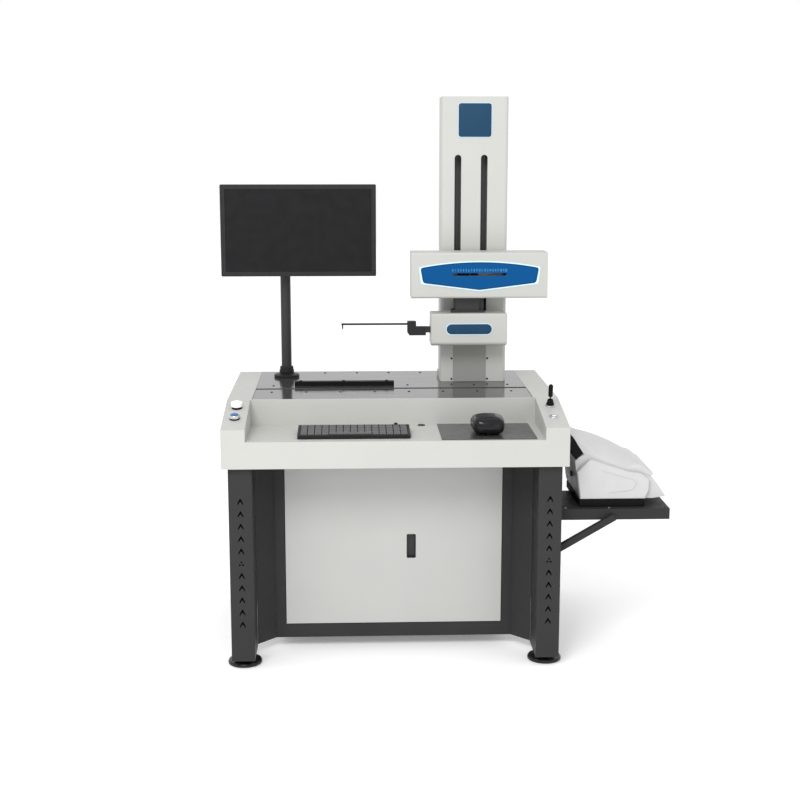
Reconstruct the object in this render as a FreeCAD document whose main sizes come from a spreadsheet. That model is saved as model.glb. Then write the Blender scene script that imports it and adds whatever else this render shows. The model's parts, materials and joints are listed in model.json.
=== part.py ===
import FreeCAD, Part
import math
import os
import Sketcher
from FreeCAD import Placement, Rotation, Vector

# Measuring station for surface roughness and contour: a steel bench with a column
# instrument, monitor, keyboard, mouse, control consoles and a printer on a side shelf.
# Lengths are in millimetres. Bench coordinates: x = 0 in the middle of the table,
# y = 0 at the table's front face and rising to the back, z = 0 on the floor.
# bench_x and bench_y shift them so that the origin lies under the middle of the station.

doc = FreeCAD.newDocument("measuring_station")
sheet = doc.addObject("Spreadsheet::Sheet", "sizes")
row_count = 0


class Size:
    """A length or angle that knows its value and its formula in the sheet."""

    def __init__(self, value, formula):
        self.value = float(value)
        self.formula = formula

    def __add__(self, other):
        other = as_size(other)
        return Size(self.value + other.value, f"({self.formula} + {other.formula})")

    def __sub__(self, other):
        other = as_size(other)
        return Size(self.value - other.value, f"({self.formula} - {other.formula})")

    def __mul__(self, other):
        other = as_size(other)
        return Size(self.value * other.value, f"({self.formula} * {other.formula})")

    def __truediv__(self, other):
        other = as_size(other)
        return Size(self.value / other.value, f"({self.formula} / {other.formula})")

    def __radd__(self, other):
        return as_size(other) + self

    def __rsub__(self, other):
        return as_size(other) - self

    def __rmul__(self, other):
        return as_size(other) * self

    def __neg__(self):
        return Size(-self.value, f"(0 - {self.formula})")


def as_size(number):
    """A plain number as a Size without a cell."""
    if isinstance(number, Size):
        return number
    return Size(number, f"({number:.6g})" if number < 0 else f"{number:.6g}")


def arc_tangent(ratio):
    """The angle in degrees whose tangent is the ratio."""
    return Size(math.degrees(math.atan(ratio.value)), f"atan({ratio.formula})")


def cosine(angle):
    """The cosine of an angle in degrees."""
    return Size(math.cos(math.radians(angle.value)), f"cos({angle.formula})")


def sine(angle):
    """The sine of an angle in degrees."""
    return Size(math.sin(math.radians(angle.value)), f"sin({angle.formula})")


def size(alias, value, note):
    """Writes a driving dimension into the sheet and returns it."""
    global row_count
    row_count += 1
    sheet.set(f"A{row_count}", note)
    sheet.set(f"B{row_count}", f"{value:g}")
    sheet.setAlias(f"B{row_count}", alias)
    return Size(value, f"sizes.{alias}")


# Driving dimensions of the bench

bench_x = size("bench_x", -144.5, "table middle from the station's middle")
bench_y = size("bench_y", -402, "table front from the station's middle")
sheet_wall = size("sheet_wall", 3, "sheet thickness of legs and housings")
fit_gap = size("fit_gap", 0.3, "gap between a piece and its recess")
shaft_gap = size("shaft_gap", 0.05, "radial gap of a shaft in its bore")
table_width = size("table_width", 1040, "table width")
table_depth = size("table_depth", 804, "table depth")
table_height = size("table_height", 800, "height of the table surface")
apron_height = size("apron_height", 164, "height of the table housing")
console_drop = size("console_drop", 45, "consoles' front edge below the table surface")
slope_depth = size("slope_depth", 251, "depth of the sloped consoles")
recess_border = size("recess_border", 72, "table edge to keyboard recess")
recess_depth = size("recess_depth", 256, "depth of the keyboard recess")
tray_drop = size("tray_drop", 82, "keyboard tray below the table surface")
plate_border = size("plate_border", 76.5, "table edge to cover plates")
plate_step = size("plate_step", 6, "recess to the front cover plate")
plate_seam_front = size("plate_seam_front", 113, "seam between the cover plates in front of the column")
plate_back_border = size("plate_back_border", 6, "cover plates to the table's back edge")
plate_thick = size("plate_thick", 4, "cover plate thickness")
plate_lower = size("plate_lower", 2, "front cover plate's surface below the rear one")
leg_border = size("leg_border", 17.5, "leg inside the table's side edge")
leg_width = size("leg_width", 71, "leg width")
leg_depth = size("leg_depth", 134, "leg depth")
leg_inset = size("leg_inset", 21, "leg face behind the table's edge")
leg_base = size("leg_base", 28, "height of the legs' lower ends")
leg_floor = size("leg_floor", 6, "thickness of the plate that holds the foot screw")
chevron_drop = size("chevron_drop", 104.6, "highest chevron below the table housing")
chevron_pitch = size("chevron_pitch", 38.6, "distance between chevrons")
chevron_count = size("chevron_count", 5, "chevrons above and below the holes")
chevron_width = size("chevron_width", 17, "chevron width")
chevron_height = size("chevron_height", 22, "chevron height")
chevron_stroke = size("chevron_stroke", 7, "upright thickness of a chevron's arms")
bolt_hole = size("bolt_hole", 3, "radius of the three round holes")
foot_radius = size("foot_radius", 52.5, "levelling foot radius")
foot_thick = size("foot_thick", 12, "levelling foot disc thickness")
foot_screw = size("foot_screw", 8, "levelling foot screw radius")
foot_reach = size("foot_reach", 34, "screw length inside the leg")
gusset_width = size("gusset_width", 55.8, "gap between leg and cabinet")
cabinet_setback = size("cabinet_setback", 59, "cabinet face behind the front legs")
cabinet_lift = size("cabinet_lift", 5, "cabinet's lower edge above the legs' lower ends")
stile_width = size("stile_width", 30.9, "cabinet face beside the door")
sill_height = size("sill_height", 44, "cabinet face below the door")
head_rail = size("head_rail", 26, "cabinet face above the door")
door_gap = size("door_gap", 2, "gap round the door")
door_thick = size("door_thick", 18, "door thickness")
pivot_inset = size("pivot_inset", 4, "door pivot from the door's corner")
pivot_radius = size("pivot_radius", 2.5, "door pivot pin radius")
pull_x = size("pull_x", 55.3, "door pull from the table middle")
pull_drop = size("pull_drop", 304, "door pull below the table housing")
pull_width = size("pull_width", 29, "door pull width")
pull_height = size("pull_height", 78, "door pull height")
pull_depth = size("pull_depth", 12, "door pull depth")

# Driving dimensions of the column instrument

column_border = size("column_border", 242, "column middle from the table's right edge")
column_width = size("column_width", 220, "column width")
column_setback = size("column_setback", 234, "column face from the table's back edge")
column_depth = size("column_depth", 110, "column depth")
column_height = size("column_height", 940, "column height above the table")
column_corner = size("column_corner", 12, "column corner radius")
column_wall = size("column_wall", 3, "column wall")
foot_plate_depth = size("foot_plate_depth", 60, "foot plate behind the column")
foot_plate_thick = size("foot_plate_thick", 18, "foot plate thickness")
slot_shift = size("slot_shift", 11.5, "slots' middle left of the column's middle")
slot_spread = size("slot_spread", 43.25, "slot middle from the slots' middle")
slot_width = size("slot_width", 21.5, "slot width")
slot_lift = size("slot_lift", 210, "slots' lower ends above the table")
slot_drop = size("slot_drop", 187, "slots' upper ends below the column's top")
badge_side = size("badge_side", 111, "blue square plate side")
badge_drop = size("badge_drop", 75.5, "blue square plate's middle below the column's top")
badge_thick = size("badge_thick", 2, "thickness of the blue plates")
lower_plate_width = size("lower_plate_width", 111, "grey lower plate width")
lower_plate_height = size("lower_plate_height", 198, "grey lower plate height")
lower_plate_thick = size("lower_plate_thick", 1.5, "grey lower plate thickness")
spine_width = size("spine_width", 124, "inner frame width")
spine_depth = size("spine_depth", 36, "inner frame depth")
spine_drop = size("spine_drop", 18, "inner frame's top below the column's top")
rail_width = size("rail_width", 14, "guide rail width and height")
screw_radius = size("screw_radius", 8, "lifting screw radius")
screw_lift = size("screw_lift", 50, "lifting screw's thick part above the table")
screw_drop = size("screw_drop", 140, "lifting screw's thick part below the column's top")
bearing_height = size("bearing_height", 20, "bearing block height")
motor_side = size("motor_side", 60, "lifting motor side")
carriage_lift = size("carriage_lift", 376, "lifting carriage's middle above the table")
carriage_height = size("carriage_height", 130, "lifting carriage height")
arm_width = size("arm_width", 14, "width of the carriage's arms in the slots")
arm_height = size("arm_height", 100, "height of the carriage's arms")
unit_shift = size("unit_shift", 10, "drive unit's middle right of the column's middle")
unit_width = size("unit_width", 444.6, "drive unit width")
unit_gap = size("unit_gap", 11, "gap between drive unit and column")
unit_depth = size("unit_depth", 100, "drive unit depth")
unit_drop = size("unit_drop", 82.8, "drive unit's lower face below the carriage's middle")
unit_height = size("unit_height", 149, "drive unit height")
unit_round_top = size("unit_round_top", 7, "upper front rounding of the drive unit")
unit_round_base = size("unit_round_base", 8, "lower front rounding of the drive unit")
panel_half = size("panel_half", 198, "half the width of the blue panel")
panel_base_lift = size("panel_base_lift", 23.5, "blue panel's lower point above the drive unit's lower face")
panel_point = size("panel_point", 23.5, "depth of the blue panel's lower point")
panel_side = size("panel_side", 55, "height of the blue panel's sides")
panel_arch = size("panel_arch", 1010, "arch radius of the blue panel's upper edge")
panel_taper = size("panel_taper", 7, "blue panel's lower corners drawn in")
slit_half = size("slit_half", 88, "half the slit's length")
slit_lift = size("slit_lift", 77.7, "slit's middle above the drive unit's lower face")
slit_height = size("slit_height", 9, "slit height")
drive_screw = size("drive_screw", 6, "drive screw radius")
drive_inset = size("drive_inset", 66, "drive screw behind the drive unit's face")
drive_lift = size("drive_lift", 61, "drive screw above the drive unit's lower face")
guide_lift = size("guide_lift", 98, "guide rail above the drive unit's lower face")
head_left = size("head_left", 32, "measuring head's middle left of the drive unit's middle")
head_width = size("head_width", 251, "measuring head width")
head_inset = size("head_inset", 9, "measuring head's face behind the drive unit's face")
head_depth = size("head_depth", 80, "measuring head depth")
head_drop = size("head_drop", 50.5, "measuring head's top below the drive unit")
head_height = size("head_height", 107, "measuring head height")
head_round_top = size("head_round_top", 7, "upper front rounding of the head")
head_round_base = size("head_round_base", 14, "lower front rounding of the head")
head_edge = size("head_edge", 5, "rounding of the head's upright ends")
bracket_left = size("bracket_left", 44.6, "black bracket's left side from the head's middle")
bracket_right = size("bracket_right", 36.7, "black bracket's right side from the head's middle")
bracket_inset = size("bracket_inset", 31, "black bracket behind the head's face")
bracket_step = size("bracket_step", 14.3, "set-back right end of the black bracket")
flange_inset = size("flange_inset", 24, "black bracket's flange behind the head's face")
bracket_flange = size("bracket_flange", 8, "black bracket flange thickness")
neck_width = size("neck_width", 60, "carriage neck width")
travel_left = size("travel_left", 45, "head travel to the left")
travel_right = size("travel_right", 115, "head travel to the right")
pill_width = size("pill_width", 153.5, "blue pill plate width")
pill_height = size("pill_height", 38, "blue pill plate height")
pill_lift = size("pill_lift", 55.3, "blue pill plate's middle above the head's lower face")
stylus_inset = size("stylus_inset", 42, "stylus behind the head's face")
pivot_left = size("pivot_left", 41, "gauge pivot left of the head's middle")
pivot_lift = size("pivot_lift", 50.3, "gauge pivot above the head's lower face")
pivot_shaft = size("pivot_shaft", 4, "gauge pivot shaft radius")
lever_height = size("lever_height", 20, "gauge lever height")
lever_thick = size("lever_thick", 14, "gauge lever thickness")
lever_reach = size("lever_reach", 14.5, "gauge lever's reach out of the head")
weight_side = size("weight_side", 36, "gauge counterweight side")
weight_length = size("weight_length", 60, "gauge counterweight length")
block_length = size("block_length", 61.5, "arm block length")
block_rise = size("block_rise", 28, "arm block's top above the pivot")
block_depth = size("block_depth", 19, "arm block's lower face below the pivot")
arm_radius = size("arm_radius", 3.2, "stylus arm radius")
arm_length = size("arm_length", 217, "stylus arm length")
arm_rise = size("arm_rise", 18, "stylus arm above the pivot")
tip_length = size("tip_length", 18.5, "stylus tip length below the arm")

# Driving dimensions of the computer, controls and printer

monitor_left = size("monitor_left", 303, "monitor middle left of the table's middle")
monitor_lift = size("monitor_lift", 505.5, "monitor middle above the table")
monitor_width = size("monitor_width", 515, "monitor width")
monitor_height = size("monitor_height", 303, "monitor height")
monitor_edge = size("monitor_edge", 12, "monitor edge thickness")
monitor_bulge = size("monitor_bulge", 22, "monitor back bulge")
monitor_bezel = size("monitor_bezel", 15.5, "monitor bezel width")
tilt_depth = size("tilt_depth", 47, "monitor tilt axis behind the monitor's face")
tilt_pin = size("tilt_pin", 4, "monitor tilt pin radius")
pole_left = size("pole_left", 49.4, "pole left of the monitor's middle")
pole_setback = size("pole_setback", 114, "pole from the table's back edge")
pole_radius = size("pole_radius", 17.25, "pole radius")
pole_above = size("pole_above", 69.5, "pole's top above the monitor's middle")
arm_offset = size("arm_offset", 43, "tilt axis in front of the pole")
flange_radius = size("flange_radius", 43, "pole flange radius")
flange_height = size("flange_height", 38, "pole flange height")
collar_radius = size("collar_radius", 25, "pole flange collar radius")
stop_left = size("stop_left", 318.5, "stop rail's left end left of the table's middle")
stop_length = size("stop_length", 329, "stop rail length")
stop_front = size("stop_front", 70.5, "stop rail's face in front of the column")
stop_depth = size("stop_depth", 24, "stop rail depth")
stop_height = size("stop_height", 14, "stop rail height")
screw_step = size("screw_step", 111, "distance between cover plate screws")
screw_head = size("screw_head", 4, "cover screw head radius")
screw_rise = size("screw_rise", 1.4, "cover screw head height")
keyboard_left = size("keyboard_left", 124.5, "keyboard middle left of the table's middle")
keyboard_y = size("keyboard_y", 36, "keyboard from the table front")
keyboard_width = size("keyboard_width", 340, "keyboard width")
keyboard_depth = size("keyboard_depth", 127, "keyboard depth")
keyboard_thick = size("keyboard_thick", 11, "keyboard base thickness")
keyboard_tilt = size("keyboard_tilt", 3.6, "keyboard tilt in degrees")
key_columns = size("key_columns", 15, "key columns")
key_rows = size("key_rows", 5, "full key rows")
key_gap = size("key_gap", 2.4, "gap between keys")
key_height = size("key_height", 5, "key height")
stem_radius = size("stem_radius", 2, "space bar stem radius")
mat_left = size("mat_left", 137, "mouse mat's left edge right of the table's middle")
mat_width = size("mat_width", 288, "mouse mat width")
mat_depth = size("mat_depth", 238, "mouse mat depth")
mat_front = size("mat_front", 12, "mouse mat from the table front")
mat_thick = size("mat_thick", 2, "mouse mat thickness")
mouse_x = size("mouse_x", 283, "mouse middle right of the table's middle")
mouse_y = size("mouse_y", 106, "mouse middle from the table front")
mouse_width = size("mouse_width", 102, "mouse width")
mouse_length = size("mouse_length", 128, "mouse length")
mouse_height = size("mouse_height", 60, "mouse height")
wheel_radius = size("wheel_radius", 12, "mouse wheel radius")
control_border = size("control_border", 36, "consoles' controls from the table's side edge")
rear_control_y = size("rear_control_y", 180, "white button and joystick from the table front")
front_control_y = size("front_control_y", 90, "blue and ring buttons from the table front")
cap_radius = size("cap_radius", 17.5, "white button cap radius")
cap_height = size("cap_height", 24, "white button height")
rim = size("rim", 7, "white cap's rim above the panel")
collar = size("collar", 12, "white button collar radius")
lens_radius = size("lens_radius", 12, "blue button lens radius")
ring_radius = size("ring_radius", 16.5, "blue button ring radius")
gimbal_height = size("gimbal_height", 9, "joystick pivot above the panel")
gimbal_bore = size("gimbal_bore", 5.25, "joystick gimbal's inner radius")
gimbal_rim = size("gimbal_rim", 7, "joystick gimbal's outer radius")
boot_bore = size("boot_bore", 8.6, "joystick boot's inner radius")
gimbal_pin = size("gimbal_pin", 0.8, "joystick pivot pin radius")
grip = size("grip", 7, "joystick grip radius")
grip_base = size("grip_base", 31, "joystick grip's lower end above the panel")
stick_height = size("stick_height", 71, "joystick height")
grommet_x = size("grommet_x", 87.5, "cable grommet right of the table's middle")
grommet_y = size("grommet_y", 236, "cable grommet from the table front")
grommet_radius = size("grommet_radius", 12, "cable grommet radius")
grommet_bore = size("grommet_bore", 8, "cable grommet bore radius")
shelf_length = size("shelf_length", 347, "side shelf length from the leg")
shelf_front = size("shelf_front", 90, "side shelf from the table front")
shelf_depth = size("shelf_depth", 237, "side shelf depth")
shelf_drop = size("shelf_drop", 320, "side shelf below the table surface")
shelf_apron = size("shelf_apron", 34, "side shelf apron height")
brace_size = size("brace_size", 20, "brace tube side")
brace_rise = size("brace_rise", 101, "brace rise")
brace_run = size("brace_run", 173, "brace run")
brace_drop = size("brace_drop", 122.4, "brace's lower end below the side shelf")
printer_gap = size("printer_gap", 45.5, "printer's upper left edge from the leg")
printer_width = size("printer_width", 294, "printer length along the shelf")
printer_inset = size("printer_inset", 38, "printer body behind the shelf's front edge")
printer_depth = size("printer_depth", 252, "printer body depth")
printer_base_height = size("printer_base_height", 24, "printer black base height")
printer_height = size("printer_height", 221, "printer height above the shelf")
printer_chin = size("printer_chin", 26, "printer's lower left edge from its upper left edge")
printer_base_length = size("printer_base_length", 204, "printer black base length")
printer_arch = size("printer_arch", 517, "arch radius of the printer's top")
side_panel = size("side_panel", 16, "printer side panel thickness")
lid_barrel = size("lid_barrel", 7, "printer cover's hinge barrel radius")

doc.recompute()

# Helpers that build bound features

PLANE_ROLES = {"XY": "XY_Plane", "XZ": "XZ_Plane", "YZ": "YZ_Plane"}
PLANE_NORMALS = {"XY": 1, "XZ": -1, "YZ": 1}
nodes = []
cuts = []


def bind(item, path, length):
    """Ties a property of an object to a formula of the sheet."""
    item.setExpression(path, as_size(length).formula)


def place(item, x=0, y=0, z=0, tilt=None, shift=True):
    """Puts an object at bench coordinates, turned by a tilt about X where one is given."""
    x = as_size(x)
    y = as_size(y)
    z = as_size(z)
    if shift:
        x = bench_x + x
        y = bench_y + y
    turn = Rotation(Vector(1, 0, 0), tilt.value if tilt else 0)
    item.Placement = Placement(Vector(x.value, y.value, z.value), turn)
    bind(item, "Placement.Base.x", x)
    bind(item, "Placement.Base.y", y)
    bind(item, "Placement.Base.z", z)
    if tilt:
        bind(item, "Placement.Rotation.Angle", tilt)


def node(item, label):
    """Marks an object as one of the station's pieces."""
    item.Label = label
    nodes.append(item)
    return item


def new_body(label, x=0, y=0, z=0, tilt=None):
    """An empty body for one piece, placed in bench coordinates."""
    body = doc.addObject("PartDesign::Body", label + "_body")
    body.AllowCompound = True
    place(body, x, y, z, tilt)
    return node(body, label)


def sketch_on(body, plane, offset=0):
    """A sketch on an origin plane of the body, moved along the plane's axis by the offset."""
    sketch = body.newObject("Sketcher::SketchObject", body.Name + "_sketch")
    role = PLANE_ROLES[plane]
    origin_plane = [part for part in body.Origin.OriginFeatures if part.Role == role][0]
    sketch.AttachmentSupport = (origin_plane, [""])
    sketch.MapMode = "FlatFace"
    offset = as_size(offset)
    lift = offset if PLANE_NORMALS[plane] > 0 else -offset
    sketch.AttachmentOffset = Placement(Vector(0, 0, lift.value), Rotation())
    bind(sketch, "AttachmentOffset.Base.z", lift)
    return sketch, plane


def pin_point(sketch, geometry, position, x, y):
    """Fixes a sketch point at formula coordinates."""
    for kind, axis, length in (("DistanceX", -2, as_size(x)), ("DistanceY", -1, as_size(y))):
        if length.formula == "0":
            sketch.addConstraint(Sketcher.Constraint("PointOnObject", geometry, position, axis))
            continue
        index = sketch.addConstraint(
            Sketcher.Constraint(kind, -1, 1, geometry, position, length.value))
        bind(sketch, f"Constraints[{index}]", length)


def pin_radius(sketch, geometry, radius):
    """Fixes the radius of a circle or arc."""
    radius = as_size(radius)
    index = sketch.addConstraint(Sketcher.Constraint("Radius", geometry, radius.value))
    bind(sketch, f"Constraints[{index}]", radius)


def arc_through(start, end, radius, side):
    """An arc between two points that bulges to the left (1) or right (-1) of their chord."""
    chord = end - start
    middle = (start + end) * 0.5
    left = Vector(-chord.y, chord.x, 0).normalize()
    rise = radius - math.sqrt(radius * radius - chord.Length * chord.Length / 4)
    return Part.Arc(start, middle + left * rise * side, end)


def outline(sketch, points, arcs=None):
    """A closed outline through formula points; arcs maps a side's index to radius and side."""
    arcs = arcs or {}
    corners = [(as_size(x), as_size(y)) for x, y in points]
    spots = [Vector(x.value, y.value, 0) for x, y in corners]
    ends = []
    for index, start in enumerate(spots):
        end = spots[(index + 1) % len(spots)]
        if index in arcs:
            radius, side = arcs[index]
            curve = arc_through(start, end, as_size(radius).value, side)
            geometry = sketch.addGeometry(curve, False)
            begins = (sketch.Geometry[geometry].StartPoint - start).Length < 1e-6
            ends.append((geometry, 1 if begins else 2, 2 if begins else 1))
            pin_radius(sketch, geometry, radius)
        else:
            geometry = sketch.addGeometry(Part.LineSegment(start, end), False)
            ends.append((geometry, 1, 2))
    for index, (geometry, first, last) in enumerate(ends):
        following, following_first, _ = ends[(index + 1) % len(ends)]
        sketch.addConstraint(
            Sketcher.Constraint("Coincident", geometry, last, following, following_first))
        pin_point(sketch, geometry, first, corners[index][0], corners[index][1])


def rectangle(sketch, x0, y0, x1, y1):
    """A rectangle from its lower left to its upper right corner."""
    outline(sketch, [(x0, y0), (x1, y0), (x1, y1), (x0, y1)])


def circle(sketch, x, y, radius):
    """A circle at a formula place."""
    x = as_size(x)
    y = as_size(y)
    spot = Vector(x.value, y.value, 0)
    geometry = sketch.addGeometry(Part.Circle(spot, Vector(0, 0, 1), as_size(radius).value), False)
    pin_radius(sketch, geometry, radius)
    pin_point(sketch, geometry, 3, x, y)


def rounded(sketch, x0, y0, x1, y1, radii):
    """A rectangle whose corners have the given radii, counter-clockwise from the lower left."""
    x0 = as_size(x0)
    y0 = as_size(y0)
    x1 = as_size(x1)
    y1 = as_size(y1)
    corner_list = [(x0, y0, 1, 1), (x1, y0, -1, 1), (x1, y1, -1, -1), (x0, y1, 1, -1)]
    points = []
    arcs = {}
    for index, (x, y, inward_x, inward_y) in enumerate(corner_list):
        radius = radii[index]
        if radius is None:
            points.append((x, y))
            continue
        radius = as_size(radius)
        along_x = (x + radius if inward_x > 0 else x - radius, y)
        along_y = (x, y + radius if inward_y > 0 else y - radius)
        pair = (along_y, along_x) if index in (0, 2) else (along_x, along_y)
        arcs[len(points)] = (radius, -1)
        points.extend(pair)
    outline(sketch, points, arcs)


def slot(sketch, x, y0, y1, width):
    """An upright slot with round ends."""
    x = as_size(x)
    half = as_size(width) / 2
    points = [(x - half, y0 + half), (x + half, y0 + half), (x + half, y1 - half), (x - half, y1 - half)]
    outline(sketch, points, {0: (half * 1.0001, -1), 2: (half * 1.0001, -1)})


def flat_slot(sketch, x0, x1, y, height):
    """A level slot with round ends."""
    half = as_size(height) / 2
    points = [(x0 + half, y - half), (x1 - half, y - half), (x1 - half, y + half), (x0 + half, y + half)]
    outline(sketch, points, {1: (half * 1.0001, -1), 3: (half * 1.0001, -1)})


def extrude(body, kind, sketch_and_plane, length, toward):
    """A Pad or Pocket of a sketch, towards the positive or negative axis."""
    sketch, plane = sketch_and_plane
    feature = body.newObject("PartDesign::" + kind, body.Name + "_" + kind.lower())
    feature.Profile = sketch
    feature.Length = as_size(length).value
    bind(feature, "Length", length)
    along_normal = toward * PLANE_NORMALS[plane] > 0
    feature.Reversed = along_normal if kind == "Pocket" else not along_normal
    sketch.Visibility = False
    if kind == "Pocket":
        cuts.append(feature)
    return feature


def pad(body, sketch_and_plane, length, toward=1):
    """Adds material from the sketch."""
    return extrude(body, "Pad", sketch_and_plane, length, toward)


def pocket(body, sketch_and_plane, length, toward=1):
    """Removes material from the sketch."""
    return extrude(body, "Pocket", sketch_and_plane, length, toward)


def pad_box(body, x0, y0, z0, x1, y1, z1):
    """Adds a block between two corners."""
    base = sketch_on(body, "XY", z0)
    rectangle(base[0], x0, y0, x1, y1)
    return pad(body, base, as_size(z1) - z0)


def cut_box(body, x0, y0, z0, x1, y1, z1):
    """Removes a block between two corners."""
    base = sketch_on(body, "XY", z0)
    rectangle(base[0], x0, y0, x1, y1)
    return pocket(body, base, as_size(z1) - z0)


def pad_rod(body, plane, u, v, start, end, radius):
    """Adds a cylinder square to a plane, from start to end along its axis."""
    base = sketch_on(body, plane, start)
    circle(base[0], u, v, radius)
    return pad(body, base, as_size(end) - start)


def cut_rod(body, plane, u, v, start, end, radius):
    """Removes a cylinder square to a plane."""
    base = sketch_on(body, plane, start)
    circle(base[0], u, v, radius)
    return pocket(body, base, as_size(end) - start)


def repeat(body, feature, axis, step, count):
    """Repeats a feature in a row along a base axis of the body."""
    row = body.newObject("PartDesign::LinearPattern", body.Name + "_row")
    row.Originals = [feature]
    role = {"X": "X_Axis", "Y": "Y_Axis", "Z": "Z_Axis"}[axis]
    row.Direction = ([part for part in body.Origin.OriginFeatures if part.Role == role][0], [""])
    count = as_size(count)
    total = as_size(step) * (count - 1)
    row.Reversed = total.value < 0
    total = -total if total.value < 0 else total
    row.Length = total.value
    row.Occurrences = int(count.value)
    bind(row, "Length", total)
    bind(row, "Occurrences", count)
    body.Tip = row
    return row


def spin(body, points, arcs=None):
    """Adds a turned shape: an outline of radius and height turned about Z."""
    base, plane = sketch_on(body, "XZ", 0)
    outline(base, points, arcs)
    feature = body.newObject("PartDesign::Revolution", body.Name + "_turned")
    feature.Profile = base
    feature.ReferenceAxis = (base, ["V_Axis"])
    feature.Angle = 360
    base.Visibility = False
    return feature


def soften(body, radius, chosen):
    """Rounds the edges that a test picks."""
    doc.recompute()
    base = body.Tip
    names = [f"Edge{index + 1}" for index, edge in enumerate(base.Shape.Edges) if chosen(edge)]
    feature = body.newObject("PartDesign::Fillet", body.Name + "_fillet")
    feature.Base = (base, names)
    bind(feature, "Radius", radius)
    feature.Radius = as_size(radius).value
    body.Tip = feature
    return feature


def bevel(body, width, chosen):
    """Bevels the edges that a test picks."""
    doc.recompute()
    base = body.Tip
    names = [f"Edge{index + 1}" for index, edge in enumerate(base.Shape.Edges) if chosen(edge)]
    feature = body.newObject("PartDesign::Chamfer", body.Name + "_bevel")
    feature.Base = (base, names)
    feature.Size = as_size(width).value
    bind(feature, "Size", width)
    body.Tip = feature
    return feature


def runs_along(edge, axis):
    """Whether a straight edge lies along an axis."""
    if not isinstance(edge.Curve, Part.Line) and edge.Curve.TypeId != "Part::GeomLine":
        return False
    return abs(abs(edge.Curve.Direction.dot(axis)) - 1) < 1e-6


def disc_of(name, x, y, z, radius, height, turn=None):
    """A bound cylinder for groups of equal pieces, its axis along Z or turned."""
    disc = doc.addObject("Part::Cylinder", name)
    bind(disc, "Radius", radius)
    bind(disc, "Height", height)
    place(disc, x, y, z, shift=False)
    if turn:
        disc.Placement = Placement(disc.Placement.Base, turn)
    return disc


def group(label, parts, x=0, y=0, z=0, tilt=None):
    """One node of several separate solids."""
    bundle = doc.addObject("Part::Compound", label + "_group")
    bundle.Links = parts
    place(bundle, x, y, z, tilt)
    return node(bundle, label)


# The bench

table_half = table_width / 2
apron_base = table_height - apron_height
console_front = table_height - console_drop
tray_height = table_height - tray_drop
leg_centre = table_half - leg_border - leg_width / 2
column_front = table_depth - column_setback
plate_front = recess_depth + plate_step
plate_seam = column_front - plate_seam_front
recess_half = table_half - recess_border
plate_half = table_half - plate_border
plate_back = table_depth - plate_back_border
plate_seat = table_height - plate_thick
sheet_under = plate_seat - sheet_wall
leg_inner = leg_centre - leg_width / 2
leg_outer = leg_centre + leg_width / 2
leg_back = leg_inset + leg_depth
shelf_height = table_height - shelf_drop
shelf_end = leg_outer + shelf_length
console_angle = arc_tangent((table_height - console_front) / slope_depth)


def panel_height(y):
    """Height of the sloped console at a distance from the table's front."""
    return console_front + (table_height - console_front) * as_size(y) / slope_depth


def leg_tube(body, x0, y0, top):
    """A square post with a closed lower end and a hole for the foot's screw."""
    pad_box(body, x0, y0, leg_base, x0 + leg_width, y0 + leg_depth, top)
    cut_box(body, x0 + sheet_wall, y0 + sheet_wall, leg_base + leg_floor,
            x0 + leg_width - sheet_wall, y0 + leg_depth - sheet_wall, top)
    cut_rod(body, "XY", x0 + leg_width / 2, y0 + leg_depth / 2, leg_base, leg_base + leg_floor,
            foot_screw + shaft_gap)


chevron_top = apron_base - chevron_drop


def chevron(body, x, z):
    """A caret-shaped slot through the leg's front wall."""
    face = sketch_on(body, "XZ", leg_inset)
    half = chevron_width / 2
    peak = z + chevron_height / 2
    floor = z - chevron_height / 2
    outline(face[0], [
        (x - half, floor), (x - half, floor + chevron_stroke), (x, peak),
        (x + half, floor + chevron_stroke), (x + half, floor), (x, peak - chevron_stroke * 1.4)])
    return pocket(body, face, sheet_wall)


def front_leg(label, side):
    """A front post with two rows of chevrons and three holes between them."""
    body = new_body(label)
    x = leg_centre * side
    leg_tube(body, x - leg_width / 2, leg_inset, tray_height - sheet_wall)
    holes_z = chevron_top - chevron_pitch * chevron_count
    upper = chevron(body, x, chevron_top)
    repeat(body, upper, "Z", -chevron_pitch, chevron_count)
    lower = chevron(body, x, holes_z - chevron_pitch)
    repeat(body, lower, "Z", -chevron_pitch, chevron_count)
    face = sketch_on(body, "XZ", leg_inset)
    for offset_x, offset_z in ((-5, -4), (5, -4), (0, 5)):
        circle(face[0], x + offset_x, holes_z + offset_z, bolt_hole)
    body.Tip = pocket(body, face, sheet_wall)


front_leg("leg_front_left", -1)
front_leg("leg_front_right", 1)

rear_leg_y = table_depth - leg_inset - leg_depth
rear_legs = new_body("rear_legs")
for x_start in (-leg_outer, leg_inner):
    leg_tube(rear_legs, x_start, rear_leg_y, sheet_under)


def levelling_foot(label, x, y):
    """A round foot with a hub, a hexagon collar and a screw into the leg."""
    body = new_body(label, x, y, 0)
    hub = foot_screw + 5
    rim = foot_radius - 3
    spin(body, [
        (0, 0), (rim, 0), (foot_radius, 2), (foot_radius, foot_thick - 4), (rim, foot_thick),
        (hub + 6, foot_thick + 2), (hub, foot_thick + 5), (hub, leg_base - 1),
        (foot_screw, leg_base - 1), (foot_screw, leg_base + foot_reach), (0, leg_base + foot_reach)])


foot_y_front = leg_inset + leg_depth / 2
foot_y_rear = rear_leg_y + leg_depth / 2
for depth_name, foot_y in (("front", foot_y_front), ("rear", foot_y_rear)):
    for side_name, side in (("left", -1), ("right", 1)):
        levelling_foot(f"foot_{depth_name}_{side_name}", leg_centre * side, foot_y)

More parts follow.
